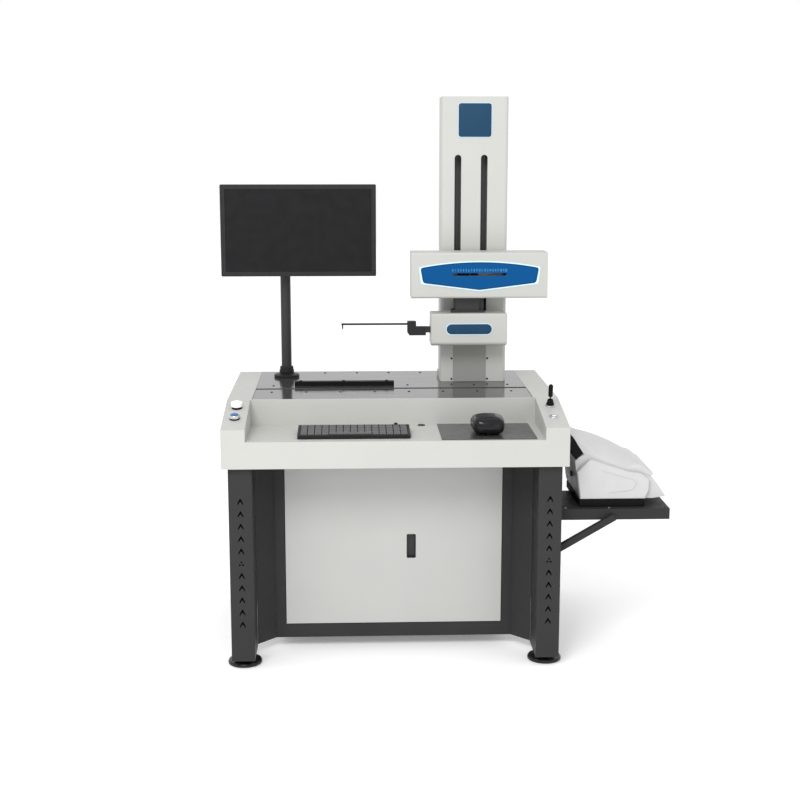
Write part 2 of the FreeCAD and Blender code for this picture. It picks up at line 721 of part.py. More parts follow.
cabinet_half = leg_inner - gusset_width
cabinet_front = leg_back + cabinet_setback
cabinet_base = leg_base + cabinet_lift
cabinet_back = table_depth - leg_inset
cabinet_top = apron_base
door_half = cabinet_half - stile_width
door_base = cabinet_base + sill_height
door_top = cabinet_top - head_rail
pull_z = apron_base - pull_drop
cabinet_skin = sheet_wall - 1
cabinet = new_body("cabinet_body")
pad_box(cabinet, -cabinet_half, cabinet_front, cabinet_base, cabinet_half, cabinet_back, cabinet_top)
cut_box(cabinet, cabinet_skin - cabinet_half, cabinet_front + sheet_wall, cabinet_base + cabinet_skin,
        cabinet_half - cabinet_skin, cabinet_back - cabinet_skin, cabinet_top - cabinet_skin)
cut_box(cabinet, -door_half, cabinet_front, door_base, door_half, cabinet_front + sheet_wall, door_top)
door_side = door_half - door_gap
hinge_x = pivot_inset - door_side
hinge_y = cabinet_front + pivot_inset
lug_thick = 6
lug_out = pivot_inset + pivot_radius
for lug_z, pin_start, pin_end in (
        (door_base - lug_thick, door_base - lug_thick, door_base + 8),
        (door_top, door_top - 8, door_top + lug_thick)):
    pad_box(cabinet, hinge_x - lug_out - 4, cabinet_front + sheet_wall, lug_z,
            hinge_x + lug_out, hinge_y + lug_out, lug_z + lug_thick)
    pad_rod(cabinet, "XY", hinge_x, hinge_y, pin_start, pin_end, pivot_radius)

# Angled panels in front and flat strips behind close the gap between legs and cabinet.
gussets = new_body("gussets")
for side in (-1, 1):
    plan = sketch_on(gussets, "XY", cabinet_base)
    near = cabinet_half * side
    far = (leg_inner - 0.2) * side
    outline(plan[0], [(near, cabinet_front), (far, leg_back), (far, leg_back + sheet_wall),
                      (near, cabinet_front + sheet_wall)])
    pad(gussets, plan, cabinet_top - cabinet_base)
for low, high in ((-leg_inner, -cabinet_half), (cabinet_half, leg_inner)):
    pad_box(gussets, low, cabinet_back - sheet_wall, cabinet_base, high, cabinet_back, cabinet_top)

door_bottom = door_base + door_gap
door_upper = door_top - door_gap
door_back = cabinet_front + door_thick
door_skin = sheet_wall - 1
door = new_body("cabinet_door")
pad_box(door, -door_side, cabinet_front, door_bottom, door_side, door_back, door_upper)
cut_box(door, pivot_inset * 3 - door_side, cabinet_front + door_skin, door_bottom + 12,
        door_side - door_skin, door_back, door_upper - 12)
pull_frame = pull_width / 2 + 3
pad_box(door, pull_x - pull_frame, cabinet_front + door_skin, pull_z - pull_height / 2 - 3,
        pull_x + pull_frame, cabinet_front + pull_depth + 2, pull_z + pull_height / 2 + 3)
pull_face = sketch_on(door, "XZ", cabinet_front)
rounded(pull_face[0], pull_x - pull_width / 2, pull_z - pull_height / 2,
        pull_x + pull_width / 2, pull_z + pull_height / 2, [4] * 4)
pocket(door, pull_face, pull_depth)
cut_rod(door, "XY", hinge_x, hinge_y, door_bottom, door_bottom + 8, pivot_radius + shaft_gap)
cut_rod(door, "XY", hinge_x, hinge_y, door_upper - 8, door_upper, pivot_radius + shaft_gap)

# The pull is a black cup pressed into the door, with a flange lip round its mouth.
pull = new_body("door_pull")
cup_half = pull_width / 2 - 0.1
cup_rise = pull_height / 2 - 0.1
cup_face = sketch_on(pull, "XZ", cabinet_front - 1)
rounded(cup_face[0], pull_x - cup_half, pull_z - cup_rise, pull_x + cup_half, pull_z + cup_rise, [3.9] * 4)
pad(pull, cup_face, pull_depth + 1)
hollow = sketch_on(pull, "XZ", cabinet_front - 1)
rounded(hollow[0], pull_x - cup_half + 2.2, pull_z - cup_rise + 2.2,
        pull_x + cup_half - 2.2, pull_z + cup_rise - 2.2, [2] * 4)
pocket(pull, hollow, pull_depth - 1)

# The table housing: a folded shell with two sloped consoles and a keyboard recess.
housing = new_body("table_housing")
side_face = sketch_on(housing, "YZ", -table_half)
outline(side_face[0], [
    (0, apron_base), (table_depth, apron_base), (table_depth, table_height),
    (slope_depth, table_height), (0, console_front)])
pad(housing, side_face, table_width)
cut_box(housing, -recess_half, 0, tray_height, recess_half, recess_depth, table_height)
cut_box(housing, sheet_wall - table_half, recess_depth + sheet_wall, apron_base,
        table_half - sheet_wall, table_depth - sheet_wall, sheet_under)
cut_box(housing, sheet_wall - table_half, sheet_wall, apron_base,
        table_half - sheet_wall, recess_depth + sheet_wall, tray_height - sheet_wall)
for low in (sheet_wall - table_half, recess_half + sheet_wall):
    inside = sketch_on(housing, "YZ", low)
    lower = tray_height - sheet_wall
    outline(inside[0], [
        (sheet_wall, lower), (recess_depth + sheet_wall, lower),
        (recess_depth + sheet_wall, sheet_under), (slope_depth, sheet_under),
        (sheet_wall, console_front - plate_thick - sheet_wall)])
    pocket(housing, inside, recess_border - sheet_wall * 2)
control_x = table_half - control_border
plate_gap_side = plate_half + fit_gap
cut_box(housing, -plate_gap_side, plate_front - fit_gap, plate_seat,
        plate_gap_side, plate_back + fit_gap, table_height)
cut_rod(housing, "XY", grommet_x, grommet_y, tray_height - sheet_wall, tray_height,
        grommet_radius - 1.5 + fit_gap)
control_holes = (
    (-1, rear_control_y, 9), (-1, front_control_y, 12.4),
    (1, rear_control_y, 11), (1, front_control_y, 11.4))
bore_reach = 15
for side, hole_y, hole_radius in control_holes:
    bore = housing.newObject("PartDesign::SubtractiveCylinder", "control_hole")
    bore.Radius = hole_radius
    bore.Height = bore_reach * 2
    place(bore, control_x * side, hole_y + sine(console_angle) * bore_reach,
          panel_height(hole_y) - cosine(console_angle) * bore_reach, console_angle, shift=False)
    housing.Tip = bore

front_cover = new_body("front_plate")
front_top = table_height - plate_lower
pad_box(front_cover, -plate_half, plate_front, plate_seat, plate_half, plate_seam - fit_gap, front_top)
rear_cover = new_body("rear_plate")
pad_box(rear_cover, -plate_half, plate_seam + fit_gap, plate_seat, plate_half, plate_back, table_height)

column_x = table_half - column_border
slot_x = column_x - slot_shift
first_screw = -(screw_step * 3.5)
screws = []
for index in range(8):
    place_x = first_screw + screw_step * index
    screws.append(disc_of("plate_screw", place_x, plate_seam - 60, front_top, screw_head, screw_rise))
    if index == 0 or index == 4 or index > 5:
        screws.append(disc_of("plate_screw", place_x, plate_seam + 52, table_height, screw_head, screw_rise))
    if index < 7:
        back_x = place_x + screw_step / 2
        screws.append(disc_of("plate_screw", back_x, table_depth - 37, table_height, screw_head, screw_rise))
lower_screw_x = lower_plate_width / 2 + screw_head + 0.5
to_front = Rotation(Vector(1, 0, 0), 90)
for side in (-1, 1):
    for screw_z in (table_height + 9.5, table_height + lower_plate_height * 0.4):
        screws.append(disc_of("column_screw", slot_x + lower_screw_x * side, column_front, screw_z,
                              screw_head, screw_rise, to_front))
for shelf_x in (leg_outer + 25.5, leg_outer + 159.5, shelf_end - 12):
    screws.append(disc_of("shelf_screw", shelf_x, shelf_front + 14, shelf_height, screw_head, screw_rise))
group("cover_screws", screws)

stop_rail = new_body("stop_rail")
stop_y = column_front - stop_front
pad_box(stop_rail, -stop_left, stop_y, table_height, stop_length - stop_left, stop_y + stop_depth,
        table_height + stop_height)
rail_top = table_height + stop_height
for bump_share in (20.5, 161.5, 304.5):
    pad_rod(stop_rail, "XY", bump_share - stop_left, stop_y + stop_depth / 2, rail_top, rail_top + 3, 5)

grommet = new_body("cable_grommet", grommet_x, grommet_y, tray_height)
inner_ring = grommet_radius - 1.5
spin(grommet, [
    (grommet_bore, -sheet_wall), (inner_ring, -sheet_wall), (inner_ring, 0), (grommet_radius, 0),
    (grommet_radius, 1.2), (grommet_radius - 1, 2), (grommet_bore, 2)])

# The column: housing, plates, foot and the inner lifting drive

column_half = column_width / 2
column_back = column_front + column_depth
column_top = table_height + column_height
slot_base = table_height + slot_lift
slot_top = column_top - slot_drop
badge_z = column_top - badge_drop
spine_top = column_top - spine_drop
screw_base = table_height + screw_lift
screw_top = column_top - screw_drop
carriage_z = table_height + carriage_lift
column = new_body("column_housing")
outer = sketch_on(column, "XY", table_height)
rounded(outer[0], column_x - column_half, column_front, column_x + column_half, column_back,
        [column_corner] * 4)
pad(column, outer, column_height)
inner = sketch_on(column, "XY", table_height)
rounded(inner[0], column_x - column_half + column_wall, column_front + column_wall,
        column_x + column_half - column_wall, column_back - column_wall, [column_corner - column_wall] * 4)
pocket(column, inner, column_height - column_wall)
slot_face = sketch_on(column, "XZ", column_front)
for side in (-1, 1):
    slot(slot_face[0], slot_x + slot_spread * side, slot_base, slot_top, slot_width)
pocket(column, slot_face, column_wall)
foot_top = table_height + foot_plate_thick
cut_box(column, column_x - column_half + column_corner, column_back - column_wall, table_height,
        column_x + column_half - column_corner, column_back, foot_top + fit_gap)

badge = new_body("column_badge")
badge_half = badge_side / 2
badge_face = sketch_on(badge, "XZ", column_front - badge_thick)
rounded(badge_face[0], column_x - badge_half, badge_z - badge_half, column_x + badge_half,
        badge_z + badge_half, [10] * 4)
pad(badge, badge_face, badge_thick)

lower_plate = new_body("column_lower_plate")
lower_half = lower_plate_width / 2
pad_box(lower_plate, slot_x - lower_half, column_front - lower_plate_thick, table_height + 2,
        slot_x + lower_half, column_front, table_height + 2 + lower_plate_height)

# The foot is a cast plate whose tongue reaches under the column and carries the upright
# frame; the two guide rails run up the frame's face behind the slots.
spine_back = column_back - column_wall - 1
spine_front = spine_back - spine_depth
rail_face = spine_front - rail_width
screw_y = rail_face - 20
journal = screw_radius - 2
frame = new_body("column_frame")
pad_box(frame, column_x - column_half, column_back + fit_gap, table_height,
        column_x + column_half, column_back + foot_plate_depth, foot_top)
tongue_half = column_half - column_corner - 1
pad_box(frame, column_x - tongue_half, column_front + column_wall + 3, table_height,
        column_x + tongue_half, column_back + foot_plate_depth - 6, foot_top)
pad_box(frame, slot_x - spine_width / 2, spine_front, foot_top,
        slot_x + spine_width / 2, spine_back, spine_top)
for side in (-1, 1):
    middle = slot_x + slot_spread * side
    pad_box(frame, middle - rail_width / 2, rail_face, screw_base - 20, middle + rail_width / 2,
            spine_front, screw_top + 60)
for bearing_base in (screw_base - bearing_height, screw_top):
    pad_box(frame, slot_x - 20, screw_y - 16, bearing_base, slot_x + 20, spine_front,
            bearing_base + bearing_height)
    cut_rod(frame, "XY", slot_x, screw_y, bearing_base, bearing_base + bearing_height, journal + shaft_gap)
foot_rear = column_back + foot_plate_depth
soften(frame, column_corner - 4, lambda edge: runs_along(edge, Vector(0, 0, 1))
       and abs(edge.BoundBox.YMax - foot_rear.value) < 0.01
       and abs(edge.BoundBox.ZLength - foot_plate_thick.value) < 0.01)

z_screw = new_body("z_screw", slot_x, screw_y, 0)
hub_base = screw_top + bearing_height + 1
motor_base = hub_base + 20
spin(z_screw, [
    (0, screw_base - bearing_height), (journal, screw_base - bearing_height), (journal, screw_base + 0.3),
    (screw_radius, screw_base + 0.3), (screw_radius, screw_top - 0.3), (journal, screw_top - 0.3),
    (journal, hub_base), (screw_radius + 4, hub_base), (screw_radius + 4, motor_base - fit_gap),
    (0, motor_base - fit_gap)])

z_motor = new_body("z_motor")
pad_box(z_motor, slot_x - motor_side / 2, spine_front - motor_side, motor_base, slot_x + motor_side / 2,
        spine_front, motor_base + motor_side + 8)
soften(z_motor, 5, lambda edge: runs_along(edge, Vector(0, 0, 1)))

unit_front = column_front - unit_gap - unit_depth
carriage_base = carriage_z - carriage_height / 2
carriage_top = carriage_z + carriage_height / 2
unit_back = unit_front + unit_depth
z_carriage = new_body("z_carriage")
shoe_half = rail_width / 2 + 7
pad_box(z_carriage, slot_x - slot_spread - shoe_half, screw_y - 16, carriage_base,
        slot_x + slot_spread + shoe_half, rail_face - fit_gap, carriage_top)
for side in (-1, 1):
    middle = slot_x + slot_spread * side
    pad_box(z_carriage, middle - shoe_half, rail_face - fit_gap, carriage_base + 10,
            middle + shoe_half, spine_front - 2, carriage_top - 10)
    cut_box(z_carriage, middle - rail_width / 2 - fit_gap, rail_face - fit_gap, carriage_base + 10,
            middle + rail_width / 2 + fit_gap, spine_front - 2, carriage_top - 10)
    pad_box(z_carriage, middle - arm_width / 2, unit_back, carriage_z - arm_height / 2,
            middle + arm_width / 2, screw_y - 16, carriage_z + arm_height / 2)
cut_rod(z_carriage, "XY", slot_x, screw_y, carriage_base, carriage_top, screw_radius + shaft_gap)

# The drive unit: a rounded housing whose lower slot lets the head's neck travel

unit_middle = column_x + unit_shift
unit_left = unit_middle - unit_width / 2
unit_right = unit_middle + unit_width / 2
unit_base = carriage_z - unit_drop
unit_top = unit_base + unit_height
slit_z = unit_base + slit_lift
drive_y = unit_front + drive_inset
drive_z = unit_base + drive_lift
guide_z = unit_base + guide_lift
head_x = unit_middle - head_left
drive = new_body("x_housing")
shape = sketch_on(drive, "YZ", unit_left)
rounded(shape[0], unit_front, unit_base, unit_back, unit_top, [unit_round_base, None, None, unit_round_top])
pad(drive, shape, unit_width)
cavity = sketch_on(drive, "YZ", unit_left + sheet_wall)
rounded(cavity[0], unit_front + sheet_wall, unit_base + sheet_wall, unit_back, unit_top - sheet_wall,
        [unit_round_base - sheet_wall, None, None, unit_round_top - sheet_wall])
pocket(drive, cavity, unit_width - sheet_wall * 2)
neck_left = head_x - neck_width / 2 - travel_left - 3
neck_right = head_x + neck_width / 2 + travel_right + 3
neck_front = drive_y - 26
neck_back = drive_y + 2
cut_box(drive, neck_left, neck_front - 3, unit_base, neck_right, neck_back + 3, unit_base + sheet_wall)
slit_face = sketch_on(drive, "XZ", unit_front)
flat_slot(slit_face[0], unit_middle - slit_half, unit_middle + slit_half, slit_z, slit_height)
pocket(drive, slit_face, sheet_wall)

guide_face = unit_back - 4 - rail_width
guide_left = unit_left + 14
guide_right = unit_right - 30
back_plate = new_body("x_back_plate")
pad_box(back_plate, unit_left + sheet_wall + fit_gap, unit_back - 4, unit_base + sheet_wall + fit_gap,
        unit_right - sheet_wall - fit_gap, unit_back, unit_top - sheet_wall - fit_gap)
pad_box(back_plate, guide_left, guide_face, guide_z - rail_width / 2, guide_right, unit_back - 4,
        guide_z + rail_width / 2)
bearing_left = unit_left + 18
bearing_right = unit_right - 72
for block_x in (bearing_left, bearing_right):
    pad_box(back_plate, block_x, drive_y - 12, drive_z - 12, block_x + 12, unit_back - 4, drive_z + 12)
    cut_rod(back_plate, "YZ", drive_y, drive_z, block_x, block_x + 12, drive_screw - 1.5 + shaft_gap)

panel_base = unit_base + panel_base_lift
panel_low = panel_base + panel_point
panel_high = panel_low + panel_side
panel = new_body("x_panel")
panel_face = sketch_on(panel, "XZ", unit_front - badge_thick)
outline(panel_face[0], [
    (unit_middle - panel_half + panel_taper, panel_low), (unit_middle, panel_base),
    (unit_middle + panel_half - panel_taper, panel_low), (unit_middle + panel_half, panel_high),
    (unit_middle - panel_half, panel_high)], {3: (panel_arch, -1)})
pad(panel, panel_face, badge_thick)
panel_slit = sketch_on(panel, "XZ", unit_front - badge_thick)
flat_slot(panel_slit[0], unit_middle - slit_half, unit_middle + slit_half, slit_z, slit_height)
pocket(panel, panel_slit, badge_thick)
soften(panel, 4, lambda edge: runs_along(edge, Vector(0, 1, 0))
       and abs(edge.BoundBox.XMin - unit_middle.value) > panel_half.value - 20)

x_screw = new_body("x_screw", 0, drive_y, drive_z)
journal_x = drive_screw - 1.5
screw_end = bearing_right + 12 + 18
for start, end, radius in (
        (bearing_left, bearing_left + 12.3, journal_x),
        (bearing_left + 12.3, bearing_right - 0.3, drive_screw),
        (bearing_right - 0.3, bearing_right + 13, journal_x),
        (bearing_right + 13, screw_end - fit_gap, drive_screw + 3)):
    pad_rod(x_screw, "YZ", 0, 0, start, end, radius)

x_motor = new_body("x_motor")
pad_box(x_motor, screw_end, drive_y - 20, drive_z - 21,
        unit_right - sheet_wall - 1, unit_back - 4, drive_z + 21)
soften(x_motor, 4, lambda edge: runs_along(edge, Vector(1, 0, 0)))

bracket_top = unit_base - 1
x_carriage = new_body("x_carriage")
neck_start = head_x - neck_width / 2
neck_end = head_x + neck_width / 2
pad_box(x_carriage, neck_start, neck_front, bracket_top, neck_end, neck_back, drive_z + 21)
pad_box(x_carriage, neck_start, neck_back - 14, drive_z - 14, neck_end, guide_face - fit_gap, guide_z + 14)
for low, high in ((guide_z - 14, guide_z - rail_width / 2 - fit_gap),
                  (guide_z + rail_width / 2 + fit_gap, guide_z + 14)):
    pad_box(x_carriage, neck_start, guide_face - fit_gap, low, neck_end, unit_back - 6, high)
cut_rod(x_carriage, "YZ", drive_y, drive_z, neck_start, neck_end, drive_screw + shaft_gap)
pad_box(x_carriage, head_x - 1, unit_front + sheet_wall + 1.5, slit_z - 3.5, head_x + 1, neck_front,
        slit_z + 3.5)

# The head: black bracket, housing and the balanced gauge lever with the stylus

head_half = head_width / 2
head_front = unit_front + head_inset
head_back = head_front + head_depth
head_top = unit_base - head_drop
head_base = head_top - head_height
stylus_y = head_front + stylus_inset
pivot_x = head_x - pivot_left
pivot_z = head_base + pivot_lift
cheek_half = 16
bracket = new_body("head_bracket")
bracket_face = head_front + bracket_inset
bracket_end = head_x + bracket_right + bracket_step
pad_box(bracket, head_x - bracket_left, bracket_face, head_top + bracket_flange,
        head_x + bracket_right, neck_back + 13, bracket_top)
pad_box(bracket, head_x + bracket_right, bracket_face + bracket_step, head_top + bracket_flange,
        bracket_end, neck_back + 13, bracket_top)
pad_box(bracket, head_x - bracket_left - 12, head_front + flange_inset, head_top,
        bracket_end, neck_back + 17, head_top + bracket_flange)
lever_half = lever_thick / 2
for low, high in ((-lever_half - 10, -lever_half - 4), (lever_half + 4, lever_half + 10)):
    pad_box(bracket, pivot_x - cheek_half, stylus_y + low, pivot_z - 18, pivot_x + cheek_half,
            stylus_y + high, head_top)
cut_rod(bracket, "XZ", pivot_x, pivot_z, stylus_y - lever_half - 10, stylus_y + lever_half + 10,
        pivot_shaft + shaft_gap)
bevel(bracket, 3, lambda edge: runs_along(edge, Vector(0, 0, 1))
      and abs(edge.BoundBox.ZLength - (bracket_top - head_top - bracket_flange).value) < 0.01
      and edge.BoundBox.YMax < bracket_face.value + 1)

head = new_body("head_housing")
head_shape = sketch_on(head, "YZ", head_x - head_half)
rounded(head_shape[0], head_front, head_base, head_back, head_top,
        [head_round_base, None, None, head_round_top])
pad(head, head_shape, head_width)
head_cavity = sketch_on(head, "YZ", head_x - head_half + sheet_wall)
rounded(head_cavity[0], head_front + sheet_wall, head_base + sheet_wall, head_back - sheet_wall,
        head_top - sheet_wall, [head_round_base - sheet_wall, None, None, head_round_top - sheet_wall])
pocket(head, head_cavity, head_width - sheet_wall * 2)
cut_box(head, pivot_x - cheek_half - 2, stylus_y - lever_half - 12, head_top - sheet_wall,
        pivot_x + cheek_half + 2, stylus_y + lever_half + 12, head_top)
window = sketch_on(head, "YZ", head_x - head_half)
window_rise = lever_height / 2 + 9
rounded(window[0], stylus_y - lever_half - 4, pivot_z - window_rise, stylus_y + lever_half + 4,
        pivot_z + window_rise, [4] * 4)
pocket(head, window, sheet_wall)
soften(head, head_edge, lambda edge: edge.BoundBox.XLength < 0.01
       and abs(abs(edge.BoundBox.XMin - head_x.value) - head_half.value) < 0.01
       and edge.BoundBox.YMax < head_back.value - 1
       and (edge.BoundBox.YMin < head_front.value + 0.01))

pill_z = head_base + pill_lift
pill = new_body("head_badge")
pill_face = sketch_on(pill, "XZ", head_front - badge_thick)
flat_slot(pill_face[0], head_x - pill_width / 2, head_x + pill_width / 2, pill_z, pill_height)
pad(pill, pill_face, badge_thick)

block_right = head_x - head_half - lever_reach
block_left = block_right - block_length
block_base = pivot_z - block_depth
block_top = pivot_z + block_rise
arm_z = pivot_z + arm_rise
lever = new_body("gauge_lever")
lever_z0 = pivot_z - lever_height / 2
lever_z1 = pivot_z + lever_height / 2
pad_box(lever, block_right, stylus_y - lever_half, lever_z0, pivot_x + 30, stylus_y + lever_half, lever_z1)
weight_half = weight_side / 2
pad_box(lever, pivot_x + 24, stylus_y - weight_half, pivot_z - weight_half, pivot_x + 24 + weight_length,
        stylus_y + weight_half, pivot_z + weight_half)
pad_rod(lever, "XZ", pivot_x, pivot_z, stylus_y - lever_half - 12, stylus_y + lever_half + 12, pivot_shaft)

arm_block = new_body("arm_block")
block_face = sketch_on(arm_block, "XZ", stylus_y - lever_half - 3)
outline(block_face[0], [
    (block_left + 7, block_base), (block_right, block_base), (block_right, lever_z1),
    (block_left + 29, lever_z1), (block_left + 29, block_top), (block_left, block_top),
    (block_left, block_base + 10)])
pad(arm_block, block_face, lever_thick + 6)
cut_rod(arm_block, "YZ", stylus_y, arm_z, block_left, block_left + 20, arm_radius)
bevel(arm_block, 1.5, lambda edge: runs_along(edge, Vector(0, 1, 0))
      and edge.BoundBox.ZMin > arm_z.value)

stylus = new_body("stylus_arm")
tip_x = block_left - arm_length
pad_rod(stylus, "YZ", stylus_y, arm_z, tip_x, block_left + 20, arm_radius)
turned = sketch_on(stylus, "XY", arm_z - tip_length + 6)
circle(turned[0], tip_x + 4, stylus_y, 2.2)
pad(stylus, turned, tip_length - 6)
cone = stylus.newObject("PartDesign::AdditiveCone", "stylus_point")
cone.Radius1 = 0.3
cone.Radius2 = 2.2
cone.Height = 6
bind(cone, "Placement.Base.x", tip_x + 4)
bind(cone, "Placement.Base.y", stylus_y)
bind(cone, "Placement.Base.z", arm_z - tip_length)
stylus.Tip = cone

# The monitor on its pole

monitor_x = -monitor_left
monitor_z = table_height + monitor_lift
pole_x = monitor_x - pole_left
pole_y = table_depth - pole_setback
pole_top = monitor_z + pole_above
tilt_y = pole_y - arm_offset
monitor_front = tilt_y - tilt_depth
monitor_half = monitor_width / 2
monitor_rise = monitor_height / 2
monitor = new_body("monitor_housing")
face = sketch_on(monitor, "XZ", monitor_front)
rounded(face[0], monitor_x - monitor_half, monitor_z - monitor_rise, monitor_x + monitor_half,
        monitor_z + monitor_rise, [4] * 4)
pad(monitor, face, monitor_edge)
recess = sketch_on(monitor, "XZ", monitor_front)
rectangle(recess[0], monitor_x - monitor_half + monitor_bezel, monitor_z - monitor_rise + monitor_bezel,
          monitor_x + monitor_half - monitor_bezel, monitor_z + monitor_rise - monitor_bezel)
pocket(monitor, recess, 3)
edge_back = monitor_front + monitor_edge
bulge = sketch_on(monitor, "XZ", edge_back)
rounded(bulge[0], monitor_x - 130, monitor_z - 95, monitor_x + 130, monitor_z + 95, [16] * 4)
pad(monitor, bulge, monitor_bulge)
bulge_back = edge_back + monitor_bulge
bevel(monitor, 10, lambda edge: abs(edge.BoundBox.YMin - bulge_back.value) < 0.01
      and abs(edge.BoundBox.YMax - bulge_back.value) < 0.01)
pad_box(monitor, monitor_x - 12, bulge_back - 1, monitor_z - 9, monitor_x + 12, tilt_y + 9, monitor_z + 9)
cut_rod(monitor, "YZ", tilt_y, monitor_z, monitor_x - 12, monitor_x + 12, tilt_pin + shaft_gap)

screen = new_body("monitor_screen")
pad_box(screen, monitor_x - monitor_half + monitor_bezel + fit_gap, monitor_front + 1,
        monitor_z - monitor_rise + monitor_bezel + fit_gap,
        monitor_x + monitor_half - monitor_bezel - fit_gap, monitor_front + 3,
        monitor_z + monitor_rise - monitor_bezel - fit_gap)

pole = new_body("monitor_pole")
pad_rod(pole, "XY", pole_x, pole_y, table_height + 6, pole_top, pole_radius)
soften(pole, 2, lambda edge: edge.BoundBox.ZMin > pole_top.value - 0.01)

pole_flange = new_body("pole_flange", pole_x, pole_y, table_height)
socket = pole_radius + shaft_gap
spin(pole_flange, [
    (0, 0), (flange_radius, 0), (flange_radius, 8), (flange_radius - 2, 10), (collar_radius + 6, 12),
    (collar_radius - 2, 15), (collar_radius, 17), (collar_radius, flange_height - 12),
    (collar_radius - 2, flange_height - 10), (collar_radius - 2, flange_height - 2),
    (collar_radius - 4, flange_height), (socket, flange_height), (socket, 6), (0, 6)])

# The swivel arm clamps round the pole and holds the monitor's tilt pin between two ears.
swivel = new_body("swivel_arm")
clamp_z0 = monitor_z - 20
clamp_z1 = monitor_z + 20
pad_rod(swivel, "XY", pole_x, pole_y, clamp_z0, clamp_z1, collar_radius + 3)
reach_y = tilt_y + 14
pad_box(swivel, pole_x, reach_y, monitor_z - 14, monitor_x + 22, reach_y + 12, monitor_z + 14)
for low, high in ((-20, -12.3), (12.3, 20)):
    pad_box(swivel, monitor_x + low, tilt_y - 8, monitor_z - 8, monitor_x + high, reach_y + 2, monitor_z + 8)
pad_rod(swivel, "YZ", tilt_y, monitor_z, monitor_x - 20, monitor_x + 20, tilt_pin)
cut_rod(swivel, "XY", pole_x, pole_y, clamp_z0, clamp_z1, pole_radius + shaft_gap)

# Keyboard, modelled level and tilted as a whole on its rear feet

keyboard_x = -keyboard_left
keyboard = new_body("keyboard_base", keyboard_x, keyboard_y, tray_height, keyboard_tilt)
key_half = keyboard_width / 2
plan = sketch_on(keyboard, "XY", 0)
rounded(plan[0], -key_half, 0, key_half, keyboard_depth, [6] * 4)
pad(keyboard, plan, keyboard_thick)
tray_margin = 7
well_depth = 2.5
well = sketch_on(keyboard, "XY", keyboard_thick - well_depth)
rectangle(well[0], -key_half + tray_margin, tray_margin,
          key_half - tray_margin, keyboard_depth - tray_margin)
pocket(keyboard, well, well_depth)
heel_y = keyboard_depth - 16
heel_drop = heel_y * sine(keyboard_tilt) / cosine(keyboard_tilt)
for side in (-1, 1):
    middle = (key_half - 40) * side
    pad_box(keyboard, middle - 15, heel_y, -heel_drop, middle + 15, heel_y + 8, 0)
dome = keyboard.newObject("PartDesign::AdditiveCylinder", "keyboard_bump")
dome.Radius = 7
dome.Height = 9
dome.Placement = Placement(Vector(0, 0, 0), Rotation(Vector(1, 0, 0), -90))
bind(dome, "Placement.Base.x", key_half - 41)
bind(dome, "Placement.Base.y", keyboard_depth - 9)
bind(dome, "Placement.Base.z", keyboard_thick - 1)
keyboard.Tip = dome

key_pitch_x = (keyboard_width - tray_margin * 2 - 2) / key_columns
key_pitch_y = (keyboard_depth - tray_margin * 2 - 2) / (key_rows + 1)
key_floor = keyboard_thick - well_depth
key_width = key_pitch_x - key_gap
key_depth = key_pitch_y - key_gap
first_x = -key_half + tray_margin + 1 + key_gap / 2
first_y = tray_margin + 1 + key_gap / 2
keys = new_body("keyboard_keys", keyboard_x, keyboard_y, tray_height, keyboard_tilt)


def key_row(y, column, count):
    """A row of equal keys from a starting column."""
    start = first_x + key_pitch_x * column
    key = pad_box(keys, start, y, key_floor, start + key_width, y + key_depth, key_floor + key_height)
    repeat(keys, key, "X", key_pitch_x, count)


space_column = 4
space_keys = 6
for row_index in range(int(key_rows.value)):
    key_row(first_y + key_pitch_y * (row_index + 1), 0, key_columns)
key_row(first_y, 0, space_column)
key_row(first_y, space_column + space_keys, key_columns - space_column - space_keys)

space_bar = new_body("space_bar", keyboard_x, keyboard_y, tray_height, keyboard_tilt)
space_start = first_x + key_pitch_x * space_column
space_travel = 2.2
space_width = key_pitch_x * space_keys - key_gap
pad_box(space_bar, space_start, first_y, key_floor + space_travel + 0.3,
        space_start + space_width, first_y + key_depth, key_floor + key_height + 1)
for share in (0.2, 0.8):
    stem_x = space_start + space_width * share
    stem_y = first_y + key_depth / 2
    pad_rod(space_bar, "XY", stem_x, stem_y, 3.8, key_floor + space_travel + 0.3, stem_radius)
    cut_rod(keyboard, "XY", stem_x, stem_y, 1.4, key_floor, stem_radius + shaft_gap)

# Mouse and mat

mat = new_body("mouse_mat")
mat_plan = sketch_on(mat, "XY", tray_height)
rounded(mat_plan[0], mat_left, mat_front, mat_left + mat_width, mat_front + mat_depth, [6] * 4)
pad(mat, mat_plan, mat_thick)

mouse_z = tray_height + mat_thick
mouse = new_body("mouse_body", mouse_x, mouse_y, mouse_z)
hump = mouse.newObject("PartDesign::AdditiveEllipsoid", "mouse_hump")
bind(hump, "Radius1", mouse_height * 0.72)
bind(hump, "Radius2", mouse_width / 2)
bind(hump, "Radius3", mouse_length / 2)
hump.Angle1 = -90
hump.Angle2 = 90
hump.Angle3 = 360
bind(hump, "Placement.Base.z", mouse_height * 0.28)
mouse.Tip = hump
cut_box(mouse, -mouse_width, -mouse_length, -mouse_height, mouse_width, mouse_length, 0)
wheel_y = mouse_length * 0.26
wheel_z = mouse_height * 0.88 - wheel_radius + 1
cut_box(mouse, -5, wheel_y - wheel_radius - 1, wheel_z - wheel_radius - 1, 5,
        wheel_y + wheel_radius + 1, mouse_height + 2)
for side in (-1, 1):
    cut_rod(mouse, "YZ", wheel_y, wheel_z, side * 6.5 - 1.5, side * 6.5 + 1.5, 2 + shaft_gap)
wheel = new_body("mouse_wheel", mouse_x, mouse_y, mouse_z)
pad_rod(wheel, "YZ", wheel_y, wheel_z, -4, 4, wheel_radius)
pad_rod(wheel, "YZ", wheel_y, wheel_z, -8, 8, 2)
